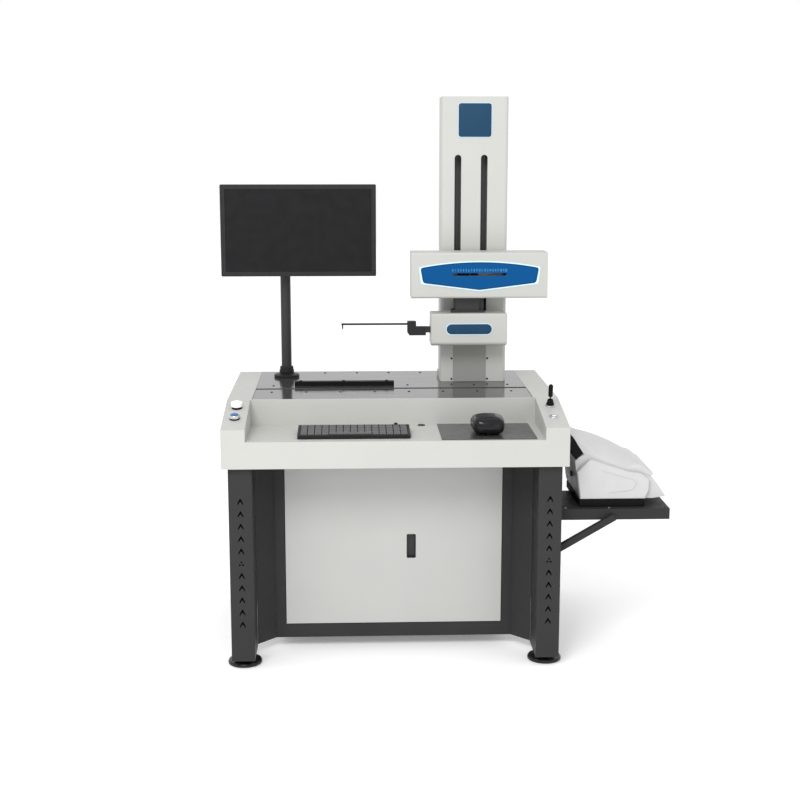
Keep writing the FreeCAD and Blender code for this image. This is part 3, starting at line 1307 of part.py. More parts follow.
soften(wheel, 1.5, lambda edge: abs(edge.BoundBox.ZLength - wheel_radius.value * 2) < 0.1
       and edge.BoundBox.XLength < 0.01)

# Controls on the sloped consoles


def on_console(side, y):
    """Bench place of a control on the left (-1) or right (1) console."""
    return control_x * side, y, panel_height(y), console_angle


white = on_console(-1, rear_control_y)
blue = on_console(-1, front_control_y)
stick = on_console(1, rear_control_y)
ring = on_console(1, front_control_y)

white_cap = new_body("white_button_cap", *white)
dome = 5
spin(white_cap, [
    (0, -8), (8, -8), (8, rim + 6.5), (collar + 0.4, rim + 6.5), (collar + 0.4, rim), (cap_radius - 1, rim),
    (cap_radius, rim + 1), (cap_radius, cap_height - dome), (0, cap_height)],
     {7: ((cap_radius * cap_radius + dome * dome) / (2 * dome), -1)})

blue_lens = new_body("blue_button_lens", *blue)
spin(blue_lens, [
    (0, -5), (lens_radius, -5), (lens_radius, 14.5), (lens_radius - 1.5, 16), (0, 16.6)])

ring_cap = new_body("ring_button_cap", *ring)
spin(ring_cap, [(0, -6), (10.8, -6), (10.8, 1.6), (10, 2.4), (0, 2.6)])


def turned_part(name, spot, points):
    """One turned solid of a group, in bench coordinates on the console."""
    lathe = doc.addObject("Part::Feature", name)
    values = [Vector(as_size(x).value, 0, as_size(z).value) for x, z in points]
    profile = Part.Face(Part.makePolygon(values + values[:1]))
    lathe.Shape = profile.revolve(Vector(0, 0, 0), Vector(0, 0, 1), 360)
    x, y, z, tilt = spot
    lathe.Placement = Placement(Vector(as_size(x).value, as_size(y).value, z.value),
                                Rotation(Vector(1, 0, 0), tilt.value))
    bind(lathe, "Placement.Base.x", x)
    bind(lathe, "Placement.Base.y", y)
    bind(lathe, "Placement.Base.z", z)
    bind(lathe, "Placement.Rotation.Angle", tilt)
    return lathe


ring_bore = lens_radius + 0.3
group("button_bases", [
    turned_part("white_base", white, [(8.4, 0), (15.5, 0), (15.5, 3), (12, 3), (12, 9), (8.4, 9)]),
    turned_part("blue_base", blue, [(ring_bore, 0), (15.5, 0), (15.5, 5), (ring_bore, 5)]),
    turned_part("stick_boot", stick, [
        (boot_bore, 5), (12.3, 5), (12.3, 9), (10.6, 10.5), (11, 13), (9.4, 15), (9.4, 19), (8.4, 22),
        (6.6, 22), (6.6, 20), (boot_bore, 18)])])
group("button_rings", [
    turned_part("blue_ring", blue, [
        (ring_bore, 5), (ring_radius, 5), (ring_radius, 11), (ring_radius - 2, 14), (ring_bore, 14)]),
    turned_part("stick_ring", stick, [(9, 0), (14.8, 0), (14.8, 4), (13.8, 5), (9, 5)]),
    turned_part("ring_ring", ring, [(11.2, 0), (14.6, 0), (14.6, 1.6), (13.8, 2.6), (11.2, 2.6)])])

# The joystick tilts about a gimbal ring whose middle lies inside the boot.
gimbal = new_body("joystick_gimbal", *stick)
spin(gimbal, [
    (gimbal_bore, gimbal_height - 2), (gimbal_rim, gimbal_height - 2), (gimbal_rim, gimbal_height + 2),
    (gimbal_bore, gimbal_height + 2)])
pin_end = boot_bore - shaft_gap
for start, end in ((-pin_end, -(gimbal_rim - 0.5)), (gimbal_rim - 0.5, pin_end)):
    pad_rod(gimbal, "YZ", 0, gimbal_height, start, end, gimbal_pin)
cut_rod(gimbal, "XZ", 0, gimbal_height, -gimbal_rim, gimbal_rim, gimbal_pin + shaft_gap)
lever_stick = new_body("joystick_lever", *stick)
spin(lever_stick, [
    (0, gimbal_height - 3), (4, gimbal_height - 3), (5, gimbal_height), (4, gimbal_height + 3),
    (2, gimbal_height + 5), (2, grip_base), (grip - 2, grip_base), (grip, grip_base + 3),
    (grip, stick_height - 4), (grip - 3, stick_height), (0, stick_height)])
pad_rod(lever_stick, "XZ", 0, gimbal_height, -gimbal_rim, gimbal_rim, gimbal_pin)

# Side shelf, brace and printer

shelf_back = shelf_front + shelf_depth
shelf_skin = sheet_wall - 0.5
shelf = new_body("shelf_tray")
pad_box(shelf, leg_outer, shelf_front, shelf_height - shelf_apron, shelf_end, shelf_back, shelf_height)
cut_box(shelf, leg_outer + shelf_skin, shelf_front + shelf_skin, shelf_height - shelf_apron,
        shelf_end - shelf_skin, shelf_back - shelf_skin, shelf_height - shelf_skin)
soften(shelf, 2, lambda edge: runs_along(edge, Vector(0, 0, 1))
       and edge.BoundBox.XMin > shelf_end.value - 0.01)

brace_angle = arc_tangent(brace_rise / brace_run)
brace_cosine = cosine(brace_angle)
brace_half = brace_size / 2
brace_base = shelf_height - brace_drop
rise_half = brace_half / brace_cosine
cut_x = brace_half * brace_rise / brace_run * brace_cosine
cut_z = brace_half * brace_cosine
brace = new_body("shelf_brace")
side_view = sketch_on(brace, "XZ", shelf_front - brace_size)
top_x = leg_outer + brace_run
top_z = brace_base + brace_rise
outline(side_view[0], [
    (leg_outer, brace_base - rise_half), (top_x + cut_x, top_z - cut_z),
    (top_x - cut_x, top_z + cut_z), (leg_outer, brace_base + rise_half)])
pad(brace, side_view, brace_size)

printer_left = leg_outer + printer_gap
printer_right = printer_left + printer_width
printer_front = shelf_front + printer_inset
printer_back = printer_front + printer_depth
printer_top = shelf_height + printer_height
print_floor = shelf_height + printer_base_height
body_left = printer_left + printer_chin
base_left = body_left - 2
base_right = base_left + printer_base_length
printer_foot = new_body("printer_base")
pad_box(printer_foot, base_left, printer_front - side_panel + 6, shelf_height,
        base_right, printer_back - 7, print_floor)

# The body's upper left opening is the paper mouth; the cover closes it from above and
# turns on a round barrel at its low end.
mouth_x = printer_left + 37
mouth_z = printer_top - 49
lid_x = printer_left + 247
barrel_z = print_floor + 78
barrel_low = barrel_z - lid_barrel
tail_z = print_floor + 6
chin_z = print_floor + 88
lid_gap = fit_gap * 2
lid_seat = lid_gap + 0.75
printer = new_body("printer_body")
profile = sketch_on(printer, "XZ", printer_front)
outline(profile[0], [
    (body_left, print_floor), (printer_right - 40, print_floor), (printer_right, tail_z),
    (lid_x + 2, barrel_low - lid_seat), (mouth_x + 2, mouth_z - lid_seat), (mouth_x, mouth_z - lid_seat),
    (printer_left + 10, mouth_z - 28), (printer_left + 13, chin_z)],
        {2: (printer_arch, -1)})
pad(printer, profile, printer_depth)
near_face = printer_front - side_panel
for panel_y in (near_face, printer_back):
    facet = sketch_on(printer, "XZ", panel_y)
    outline(facet[0], [
        (body_left, print_floor + 2), (base_right, print_floor + 2),
        (base_right + 11, print_floor + 29), (base_right + 12, print_floor + 62),
        (base_right - 19, chin_z - 2), (printer_left + 72, chin_z + 39),
        (printer_left + 53, chin_z + 38), (printer_left + 14, chin_z)])
    pad(printer, facet, side_panel)
button_y = printer_front + 100
button_z = print_floor + 57
button_x = printer_left + 19
button_radius = 9
cut_rod(printer, "YZ", button_y, button_z, printer_left - 5, button_x + 8, button_radius + fit_gap)
bevel(printer, 2.5, lambda edge: abs(edge.BoundBox.YMin - near_face.value) < 0.01
      and abs(edge.BoundBox.YMax - near_face.value) < 0.01)

lid = new_body("printer_cover")
lid_view = sketch_on(lid, "XZ", printer_front + fit_gap)
outline(lid_view[0], [
    (mouth_x, mouth_z), (lid_x, barrel_low), (lid_x, barrel_z + lid_barrel), (printer_left, printer_top)],
        {1: (lid_barrel * 1.0001, -1), 2: (printer_arch, -1)})
pad(lid, lid_view, printer_depth - fit_gap * 2)
soften(lid, 9, lambda edge: edge.BoundBox.YLength < 0.01 and edge.BoundBox.XLength > 200
       and edge.BoundBox.ZMax > printer_top.value - 1)

# Two ears on the body carry the barrel's pins.
ear_width = 12
ear_pin = 2
for ear_y in (printer_front + 40, printer_back - 52):
    ear_end = ear_y + ear_width
    cut_box(lid, lid_x - 12, ear_y - fit_gap, barrel_low, lid_x + 8, ear_end + fit_gap, barrel_z + 14)
    cut_rod(lid, "XZ", lid_x, barrel_z, ear_y - 8.3, ear_end + 8.3, ear_pin + shaft_gap)
    pad_box(printer, lid_x - 5, ear_y, barrel_low - 4, lid_x + 4, ear_end, barrel_z)
    pad_rod(printer, "XZ", lid_x, barrel_z, ear_y, ear_end, lid_barrel - 0.5)
    pad_rod(printer, "XZ", lid_x, barrel_z, ear_y - 8, ear_end + 8, ear_pin)

printer_button = new_body("printer_button", 0, button_y, button_z)
pad_rod(printer_button, "YZ", 0, 0, button_x - 8, button_x + 4, button_radius)

# Check every object before any file is written

doc.recompute()
faults = []
for item in doc.Objects:
    if "Invalid" in item.State or "Error" in item.State:
        faults.append(f"{item.Name} of {item.Label}: {item.State}")
for piece in nodes:
    if piece.Shape.isNull() or not piece.Shape.isValid() or not piece.Shape.Solids:
        faults.append(f"{piece.Label}: no valid solid")
for cut in cuts:
    base = cut.BaseFeature
    if base is None or base.Shape.isNull() or cut.Shape.isNull():
        faults.append(f"{cut.Name} of {cut.getParentGeoFeatureGroup().Label}: nothing to cut")
    elif cut.Shape.Volume >= base.Shape.Volume - 1e-6:
        faults.append(f"{cut.Name} of {cut.getParentGeoFeatureGroup().Label}: removes nothing")
if faults:
    raise RuntimeError("\n".join(faults))

os.makedirs("parts", exist_ok=True)
whole = FreeCAD.BoundBox()
for piece in nodes:
    piece.Shape.exportStep(f"parts/{piece.Label}.step")
    whole.add(piece.Shape.BoundBox)
print(f"{len(nodes)} nodes, {sum(len(piece.Shape.Solids) for piece in nodes)} solids")
print("box", whole)
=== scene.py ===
# %% [markdown]
# # Dressing a measuring station
# The station is a steel bench with a column instrument that drags a fine stylus over a
# workpiece. Its mechanical model comes packed from the design program. This lesson gives it
# its looks: rounded edges where sheet metal is folded, paint with a fine texture, lacquered
# plates, numbers on the scale, moulded keys and a softly lit studio. Everything is in metres,
# x runs to the user's right, y to the back and z up.

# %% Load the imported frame
import json
import math

import bmesh
import bpy
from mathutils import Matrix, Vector

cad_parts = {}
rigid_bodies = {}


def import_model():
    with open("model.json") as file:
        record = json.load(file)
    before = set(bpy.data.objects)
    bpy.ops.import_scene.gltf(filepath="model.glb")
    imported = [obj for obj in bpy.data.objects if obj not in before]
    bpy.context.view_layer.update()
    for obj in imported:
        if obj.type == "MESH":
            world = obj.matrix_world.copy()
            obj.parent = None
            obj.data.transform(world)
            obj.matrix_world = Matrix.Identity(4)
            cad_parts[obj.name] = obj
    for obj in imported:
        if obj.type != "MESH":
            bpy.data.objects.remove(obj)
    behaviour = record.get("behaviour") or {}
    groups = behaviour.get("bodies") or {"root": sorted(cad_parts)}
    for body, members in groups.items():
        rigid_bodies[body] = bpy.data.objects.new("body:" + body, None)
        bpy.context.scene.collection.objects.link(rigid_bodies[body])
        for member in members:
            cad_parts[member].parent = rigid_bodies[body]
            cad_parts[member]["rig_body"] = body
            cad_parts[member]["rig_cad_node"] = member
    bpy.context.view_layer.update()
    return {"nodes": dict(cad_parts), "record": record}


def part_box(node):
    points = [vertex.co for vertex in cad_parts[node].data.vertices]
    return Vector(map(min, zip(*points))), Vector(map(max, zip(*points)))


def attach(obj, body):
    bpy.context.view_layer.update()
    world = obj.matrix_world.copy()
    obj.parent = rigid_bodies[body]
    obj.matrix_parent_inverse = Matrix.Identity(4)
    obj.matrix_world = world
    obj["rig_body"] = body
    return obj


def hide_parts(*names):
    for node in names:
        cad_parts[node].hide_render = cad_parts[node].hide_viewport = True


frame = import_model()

MM = 0.001
nodes = frame["nodes"]
bodies = frame["record"]["behaviour"]["bodies"]
body_of = {node: body for body, members in bodies.items() for node in members}
housing_low, housing_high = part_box("table_housing")
BENCH = Vector(((housing_low.x + housing_high.x) / 2, housing_low.y, 0))
TABLE_TOP = housing_high.z
print("nodes", len(nodes), "table top", round(TABLE_TOP, 4))

# %% [markdown]
# ## Places and selections
# All places are given from the middle of the bench's front edge, in millimetres, as a fitter
# would measure them. Operators work on whatever is selected, so each step first makes its
# own object the only selected one. Edit mode is entered with everything selected, and faces
# are then chosen by where their middle is and where they look.

# %% Places and selections
def at(x, y, z):
    """A place in the frame from millimetres right, behind and above the bench's front edge."""
    return BENCH + Vector((x, y, z)) * MM


def pick(*pieces):
    """Selects only these objects and makes the first one active."""
    bpy.ops.object.select_all(action="DESELECT")
    for piece in pieces:
        piece.select_set(True)
    bpy.context.view_layer.objects.active = pieces[0]


def copy_of(piece):
    """Copies an object together with its mesh and leaves the copy active."""
    pick(piece)
    bpy.ops.object.duplicate()
    return bpy.context.active_object


def open_mesh(piece):
    """Enters edit mode on one object with its whole mesh selected."""
    pick(piece)
    bpy.ops.object.mode_set(mode="EDIT")
    bpy.ops.mesh.select_all(action="SELECT")


def close_mesh():
    """Leaves edit mode."""
    bpy.ops.object.mode_set(mode="OBJECT")


def select_faces(piece, wanted):
    """In edit mode, selects the faces whose middle, in millimetres, and normal pass a test."""
    mesh = bmesh.from_edit_mesh(piece.data)
    bpy.ops.mesh.select_mode(type="FACE")
    bpy.ops.mesh.select_all(action="DESELECT")
    for face in mesh.faces:
        if wanted(face.calc_center_median() / MM, face.normal):
            face.select_set(True)
    mesh.select_flush(True)
    bmesh.update_edit_mesh(piece.data)


def inset(width, depth=0):
    """Insets the selected faces and shifts them along their normal, in millimetres."""
    bpy.ops.mesh.inset(thickness=width * MM, depth=depth * MM, use_boundary=True)


def extrude(x, y, z):
    """Extrudes the selected faces by millimetres along the three axes."""
    bpy.ops.mesh.extrude_region_move(
        TRANSFORM_OT_translate={"value": (x * MM, y * MM, z * MM)})


print("bench front at", [round(value, 4) for value in at(0, 0, 0)])

# %% [markdown]
# ## Finishing a piece
# A modifier could be left live, but the export wants plain meshes, so each one is applied as
# soon as it is set. A finished piece keeps its place in its mesh, with the object itself at
# the origin, because patterns are laid out on the object's own coordinates. Then it is told
# which moving body it belongs to, so that it rides along in every pose.

# %% Finish a piece
def apply_modifier(piece, kind, **settings):
    """Adds a modifier to the active object, sets it and applies it."""
    modifier = piece.modifiers.new(kind.lower(), kind)
    for key, value in settings.items():
        setattr(modifier, key, value)
    bpy.ops.object.modifier_apply(modifier=modifier.name)


def smooth_below(degrees):
    """Shades the active object smooth, but not over edges that bend by more than this."""
    bpy.ops.object.shade_smooth_by_angle(angle=math.radians(degrees))


def settle(piece):
    """Moves an object's place, turn and size into its mesh."""
    pick(piece)
    bpy.ops.object.transform_apply(location=True, rotation=True, scale=True)


def finish_piece(piece, name, body, material):
    """Names a finished piece, gives it its material and lets it ride on its body."""
    piece.name = name
    piece.data.name = name
    piece.data.materials.clear()
    piece.data.materials.append(material)
    settle(piece)
    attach(piece, body)


print("bodies to ride on", len(bodies))

# %% [markdown]
# ## Shader maths in Python
# A finish is a small network of nodes. Written out node by node it is hard to read, so one
# class wraps a socket and turns `-` and `*` into Math nodes, and another one builds a
# material and adds any other node in a single call.

# %% A socket that does sums
class Wave:
    """A value that varies over a surface."""

    def __init__(self, finish, socket):
        self.finish = finish
        self.socket = socket

    def __sub__(self, other):
        return self.finish.math("SUBTRACT", self, other)

    def __rsub__(self, other):
        return self.finish.math("SUBTRACT", other, self)

    def __mul__(self, other):
        return self.finish.math("MULTIPLY", self, other)

    __rmul__ = __mul__


print("sums ready")

# %% A material with a shorthand for nodes
class Finish:
    """A material with a Principled shader; lengths that it takes are millimetres."""

    def __init__(self, name, colour, roughness, metallic=0.0, specular=0.5):
        self.material = bpy.data.materials.new(name)
        self.material.use_nodes = True
        self.tree = self.material.node_tree
        self.shader = self.tree.nodes["Principled BSDF"]
        self.set("Base Color", (*colour, 1))
        self.set("Roughness", roughness)
        self.set("Metallic", metallic)
        self.set("Specular IOR Level", specular)
        self.place = self.node("TexCoord", output="Object")

    def feed(self, socket, value):
        """Links a varying value to a socket, or sets a fixed one."""
        if isinstance(value, Wave):
            self.tree.links.new(value.socket, socket)
        else:
            socket.default_value = value

    def set(self, name, value):
        """Feeds one of the shader's own sockets."""
        self.feed(self.shader.inputs[name], value)
        return self

    def node(self, kind, settings=None, inputs=None, output=0):
        """Adds a node, sets it, feeds its inputs and gives one of its outputs."""
        node = self.tree.nodes.new("ShaderNode" + kind)
        for key, value in (settings or {}).items():
            if key == "stops":
                while len(node.color_ramp.elements) < len(value):
                    node.color_ramp.elements.new(0.5)
                for element, (position, colour) in zip(node.color_ramp.elements, value):
                    element.position = position
                    element.color = (*colour, 1)
            else:
                setattr(node, key, value)
        for key, value in (inputs or {}).items():
            self.feed(node.inputs[key], value)
        return Wave(self, node.outputs[output])

    def math(self, operation, *values):
        """A Math node over one, two or three values."""
        return self.node("Math", {"operation": operation}, dict(enumerate(values)))

    def along(self, axis):
        """The object's own coordinate along one axis, in metres."""
        return self.node("SeparateXYZ", None, {"Vector": self.place}, axis)

    def noise(self, scale, detail=3.0, squeeze=(1, 1, 1)):
        """Smooth noise over the object, squeezed along the axes whose number is over 1."""
        place = self.node("Mapping", None, {"Vector": self.place, "Scale": squeeze})
        return self.node("TexNoise", None, {"Vector": place, "Scale": scale, "Detail": detail})

    def ramp(self, value, low, high):
        """Low to high over the span from 0.3 to 0.7, where nearly all of a noise lies."""
        ends = {"From Min": 0.3, "From Max": 0.7, "To Min": low, "To Max": high, "Value": value}
        return self.node("MapRange", None, ends)

    def bands(self, value, stops):
        """The colour that a value meets between stops, each a position and a colour."""
        return self.node("ValToRGB", {"stops": stops}, {"Fac": value})

    def mottle(self, cloud, first, second):
        """Lets the base colour drift between two colours with a noise."""
        stops = ((0, first), (1, second))
        return self.set("Base Color", self.bands(self.ramp(cloud, 0, 1), stops))

    def relief(self, value, strength, depth):
        """Lets a value raise the surface a little."""
        inputs = {"Height": value, "Strength": strength, "Distance": depth * MM}
        return self.set("Normal", self.node("Bump", None, inputs))


def shaded(colour, factor, lift=0.0):
    """A colour made darker or lighter by a factor, with a little white added."""
    return tuple(min(channel * factor + lift, 1) for channel in colour)


print("finish maker ready")

# %% [markdown]
# ## Paints and powder coats
# The housings are sprayed a warm light grey with a fine even texture, the legs are powder
# coated in charcoal with a coarser grain. An image could be wrapped round them, but noise on
# the object's own coordinates needs no unwrapping and never shows a seam. The tone follows a
# broad cloud, the gloss a smaller one, and the bump a very fine one.

# %% Paints and powder coats
def paint(name, colour, roughness, grain, depth, spread=0.03, specular=0.4):
    """A sprayed or powder-coated paint with a fine grain."""
    finish = Finish(name, colour, roughness, specular=specular)
    finish.mottle(finish.noise(scale=5.0, detail=2.0), shaded(colour, 1 - spread), colour)
    gloss = finish.noise(scale=40.0)
    finish.set("Roughness", finish.ramp(gloss, roughness - 0.05, roughness + 0.06))
    return finish.relief(finish.noise(grain, detail=2.0), strength=0.35, depth=depth)


def lacquer(name, colour, roughness):
    """A glossy lacquer with faint wipe marks."""
    finish = Finish(name, colour, roughness)
    smear = finish.noise(scale=9.0, detail=4.0, squeeze=(1, 5, 1))
    finish.set("Roughness", finish.ramp(smear, roughness, roughness + 0.07))
    finish.set("Coat Weight", 0.1).set("Coat Roughness", 0.06)
    return finish.relief(finish.noise(scale=3.0, detail=1.0), strength=0.05, depth=0.4)


HOUSING_GREY = (0.470, 0.475, 0.449)
# name, colour, roughness, grain (noise scale), depth in millimetres, spread, specular
housing_paint = paint("housing_paint", HOUSING_GREY, 0.46, 1500, 0.06)
leg_paint = paint("leg_paint", (0.026, 0.026, 0.027), 0.52, 900, 0.12, 0.12, 0.25)
shelf_paint = paint("shelf_paint", (0.030, 0.030, 0.031), 0.5, 900, 0.12, 0.12, 0.12)
door_paint = paint("door_paint", (0.462, 0.462, 0.448), 0.42, 1500, 0.05)
grey_plate = paint("grey_plate", (0.27, 0.27, 0.252), 0.4, 1500, 0.04)
plate_lacquer = lacquer("plate_lacquer", (0.045, 0.045, 0.047), 0.12)
print("paints made")

# %% [markdown]
# ## Metals and plastics
# Turned and ground parts show fine scratches along one direction. Squeezing the noise
# sixtyfold along one axis draws it out into lines across that axis, which is cheaper than
# modelling or drawing scratches. Moulded plastic has a soft grain instead, and its gloss
# varies where fingers touch it.

# %% Metals and plastics
SQUEEZED_UP = (1, 1, 60)
SQUEEZED_ACROSS = (60, 1, 1)


def metal(name, colour, roughness, squeeze):
    """A machined metal with scratches across the squeezed axis."""
    finish = Finish(name, colour, roughness, metallic=1.0)
    scratch = finish.noise(scale=60.0, detail=4.0, squeeze=squeeze)
    finish.set("Roughness", finish.ramp(scratch, roughness - 0.08, roughness + 0.12))
    return finish.relief(scratch, strength=0.12, depth=0.05)


def plastic(name, colour, roughness, grain=2200, depth=0.05, specular=0.4):
    """A moulded plastic with a soft grain."""
    finish = Finish(name, colour, roughness, specular=specular)
    touched = finish.noise(scale=25.0)
    finish.mottle(touched, colour, shaded(colour, 1.04, lift=0.002))
    finish.set("Roughness", finish.ramp(touched, roughness - 0.04, roughness + 0.08))
    return finish.relief(finish.noise(grain, detail=1.0), strength=0.3, depth=depth)


bright_steel = metal("bright_steel", (0.62, 0.62, 0.63), 0.24, SQUEEZED_UP)
machine_steel = metal("machine_steel", (0.42, 0.42, 0.43), 0.35, SQUEEZED_UP)
light_alloy = metal("light_alloy", (0.60, 0.60, 0.61), 0.36, SQUEEZED_ACROSS)
black_anodised = metal("black_anodised", (0.035, 0.035, 0.037), 0.42, SQUEEZED_ACROSS)
# name, colour, roughness, grain (noise scale), depth in millimetres, specular
blackened_steel = plastic("blackened_steel", (0.02, 0.02, 0.021), 0.5, 700, 0.1)
black_plastic = plastic("black_plastic", (0.018, 0.018, 0.019), 0.45)
key_plastic = plastic("key_plastic", (0.070, 0.070, 0.073), 0.38, 3000)
key_base = plastic("key_base", (0.012, 0.012, 0.013), 0.45, 2600, 0.04, 0.2)
gloss_black = plastic("gloss_black", (0.010, 0.010, 0.011), 0.2, 2500, 0.01, 0.3)
deep_black = plastic("deep_black", (0.006, 0.006, 0.006), 0.5, 1500, 0.03, 0.08)
mouse_black = plastic("mouse_black", (0.007, 0.007, 0.008), 0.17, 2500, 0.01, 0.22)
screen_glass = plastic("screen_glass", (0.010, 0.010, 0.011), 0.33, 4000, 0.01, 0.12)
bezel_plastic = plastic("bezel_plastic", (0.020, 0.020, 0.021), 0.4, 2200, 0.05, 0.16)
white_plastic = plastic("white_plastic", (0.50, 0.50, 0.50), 0.34, 1800, 0.03, 0.3)
# Grey painted shade for the shadow along the raised line on the printer's near panel.
ridge_shade_grey = plastic("ridge_shade_grey", (0.42, 0.42, 0.42), 0.4, 1800, 0.03, 0.2)
cap_white = plastic("cap_white", (0.86, 0.86, 0.86), 0.25, 1800, 0.01)
ring_blue = plastic("ring_blue", (0.03, 0.08, 0.42), 0.3, 1800, 0.01, 0.2)
lens_blue = plastic("lens_blue", (0.03, 0.12, 0.30), 0.18, 2500, 0.01)
mat_dark = plastic("mat_dark", (0.050, 0.050, 0.052), 0.2, 1200, 0.04)
dark_screw = plastic("dark_screw", (0.012, 0.012, 0.012), 0.42, 900, 0.04, 0.3)
pale_ink = plastic("pale_ink", (0.11, 0.36, 0.66), 0.5, 2200, 0.01, 0.1)
print("metals and plastics made")

# %% [markdown]
# ## Printed blue plates
# The plate on the drive unit and the two smaller ones are aluminium, printed blue under a
# clear film, with a pale line left round the edge and a deep one inside it. The blue gets a
# very slow change of tone, and the film is a thin clear coat.

# %% Printed blue plates
def printed(name, colour):
    """A printed plate under a clear film."""
    finish = Finish(name, colour, 0.42, specular=0.06)
    finish.mottle(finish.noise(scale=6.0, detail=2.0), shaded(colour, 0.88), colour)
    finish.set("Coat Weight", 0.02).set("Coat Roughness", 0.12)
    return finish.relief(finish.noise(scale=1600, detail=1.0), strength=0.12, depth=0.04)


PLATE_BLUE = (0.002, 0.070, 0.225)
EDGE_PALE = (0.60, 0.79, 0.90)
EDGE_DEEP = (0.003, 0.035, 0.110)
badge_blue = printed("badge_blue", (0.018, 0.058, 0.112))
edge_pale = printed("edge_pale", EDGE_PALE)
edge_deep = printed("edge_deep", EDGE_DEEP)
print("plates printed")

# %% [markdown]
# Insetting the face of the large plate would also draw lines round its slit, and they would
# cross in its small rounded corners, so here the finish prints them. The distance to the
# nearest edge is the smallest of three: to the slanted side, to the edge that falls to the
# tip and to the arch. A smooth minimum rounds the corners, and a ramp turns the distance
# into pale, deep and plate blue.

# %% Print the large plate
SIDE_TOP, SIDE_BASE, SIDE_TAPER = 1196, 1140, 10
ARCH_RADIUS = 1010
CORNER_SOFTNESS = 14.0
PRINT_SPAN = 20.0
PRINT_STOPS = ((0.0, EDGE_PALE), (3.6, EDGE_PALE), (4.1, EDGE_DEEP), (6.6, EDGE_DEEP),
               (7.2, PLATE_BLUE), (PRINT_SPAN, PLATE_BLUE))
panel_low, panel_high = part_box("x_panel")


def plate_print():
    """A blue print whose lines follow the outline of the large plate."""
    finish = printed("plate_print", PLATE_BLUE)
    middle = (panel_low.x + panel_high.x) / 2
    half = (panel_high.x - panel_low.x) / 2 / MM
    tip, crown = panel_low.z / MM, panel_high.z / MM
    across = finish.math("ABSOLUTE", (finish.along("X") - middle) * (1 / MM))
    up = finish.along("Z") * (1 / MM)
    side = half - (SIDE_TOP - up) * (SIDE_TAPER / (SIDE_TOP - SIDE_BASE)) - across
    fall = up - tip - across * ((SIDE_BASE - tip) / (half - SIDE_TAPER))
    arch = crown - across * across * (0.5 / ARCH_RADIUS) - up
    edge = finish.math("SMOOTH_MIN", side, fall, CORNER_SOFTNESS)
    edge = finish.math("SMOOTH_MIN", edge, arch, CORNER_SOFTNESS)
    stops = [(distance / PRINT_SPAN, colour) for distance, colour in PRINT_STOPS]
    return finish.set("Base Color", finish.bands(edge * (1 / PRINT_SPAN), stops))


large_plate = plate_print()
print("large plate printed")

# %% [markdown]
# ## Finishes for the nodes
# A node whose shape is already right keeps its mesh and only gets its finish, and a copy that
# is reshaped later takes the finish of its node. The foot of the column carries the upright
# frame, which is seen only through the slots, so one finish changes from light paint to dark
# grey at the height of the foot plate. The dark grey is painted shade for the shadowed inside
# of the column.

# %% A finish that changes with height
FOOT_PLATE = 18.5
# Dark grey painted shade: the frame seen through the slots stands for the column's shadow.
SLOT_SHADE_GREY = (0.15, 0.15, 0.145)


def foot_and_frame():
    """Light paint on the foot plate and, above it, dark grey painted shade."""
    finish = paint("foot_and_frame", HOUSING_GREY, 0.46, 1500, 0.06)
    above = finish.math("GREATER_THAN", finish.along("Z"), TABLE_TOP + FOOT_PLATE * MM)
    stops = ((0, HOUSING_GREY), (1, SLOT_SHADE_GREY))
    return finish.set("Base Color", finish.bands(above, stops))


column_foot_and_shade = foot_and_frame()
print("foot and frame made")

# %% Give every node its finish
finish_of = {
    "leg_front_left": leg_paint, "leg_front_right": leg_paint, "rear_legs": leg_paint,
    "foot_front_left": gloss_black, "foot_front_right": gloss_black,
    "foot_rear_left": gloss_black, "foot_rear_right": gloss_black, "cabinet_body": leg_paint,
    "gussets": leg_paint, "cabinet_door": door_paint, "door_pull": black_plastic,
    "table_housing": housing_paint, "front_plate": plate_lacquer, "rear_plate": plate_lacquer,
    "cover_screws": machine_steel, "stop_rail": deep_black, "cable_grommet": black_plastic,
    "column_housing": housing_paint, "column_badge": badge_blue,
    "column_lower_plate": grey_plate, "column_frame": column_foot_and_shade, "z_screw": machine_steel,
    "z_motor": blackened_steel, "z_carriage": blackened_steel, "x_housing": housing_paint,
    "x_back_plate": light_alloy, "x_panel": large_plate, "x_screw": machine_steel,
    "x_motor": blackened_steel, "x_carriage": blackened_steel, "head_bracket": blackened_steel,
    "head_housing": housing_paint, "head_badge": badge_blue, "gauge_lever": blackened_steel,
    "arm_block": black_anodised, "stylus_arm": black_anodised,
    "monitor_housing": bezel_plastic, "monitor_screen": screen_glass,
    "monitor_pole": blackened_steel, "pole_flange": key_base, "swivel_arm": blackened_steel,
    "keyboard_base": key_base, "keyboard_keys": key_plastic, "space_bar": key_plastic,
    "mouse_mat": mat_dark, "mouse_body": mouse_black, "mouse_wheel": black_plastic,
    "white_button_cap": cap_white, "blue_button_lens": lens_blue, "ring_button_cap": cap_white,
    "button_bases": deep_black, "button_rings": bright_steel, "joystick_lever": deep_black,
    "joystick_gimbal": light_alloy, "shelf_tray": shelf_paint, "shelf_brace": shelf_paint,
    "printer_base": deep_black, "printer_body": white_plastic, "printer_cover": white_plastic,
    "printer_button": gloss_black,
}
for node, finish in finish_of.items():
    nodes[node].data.materials.clear()
    nodes[node].data.materials.append(finish.material)
print("finished nodes", len(finish_of), "of", len(nodes))

# %% [markdown]
# ## Rounded edges
# Nothing on the real bench ends in a knife edge: folded sheet has a bend radius, and a
# machined block is deburred. A thin bright line along each edge is what the eye reads as
# real. The node's mesh is loose triangles, so a copy of it is merged into clean faces, its
# sharp edges are bevelled, and the copy stands in for the node. The bevel is about as wide
# as the bend or the deburred edge of the real piece.

# %% Round a node's edges
MERGE = 0.01
FLAT_DEGREES = 0.6


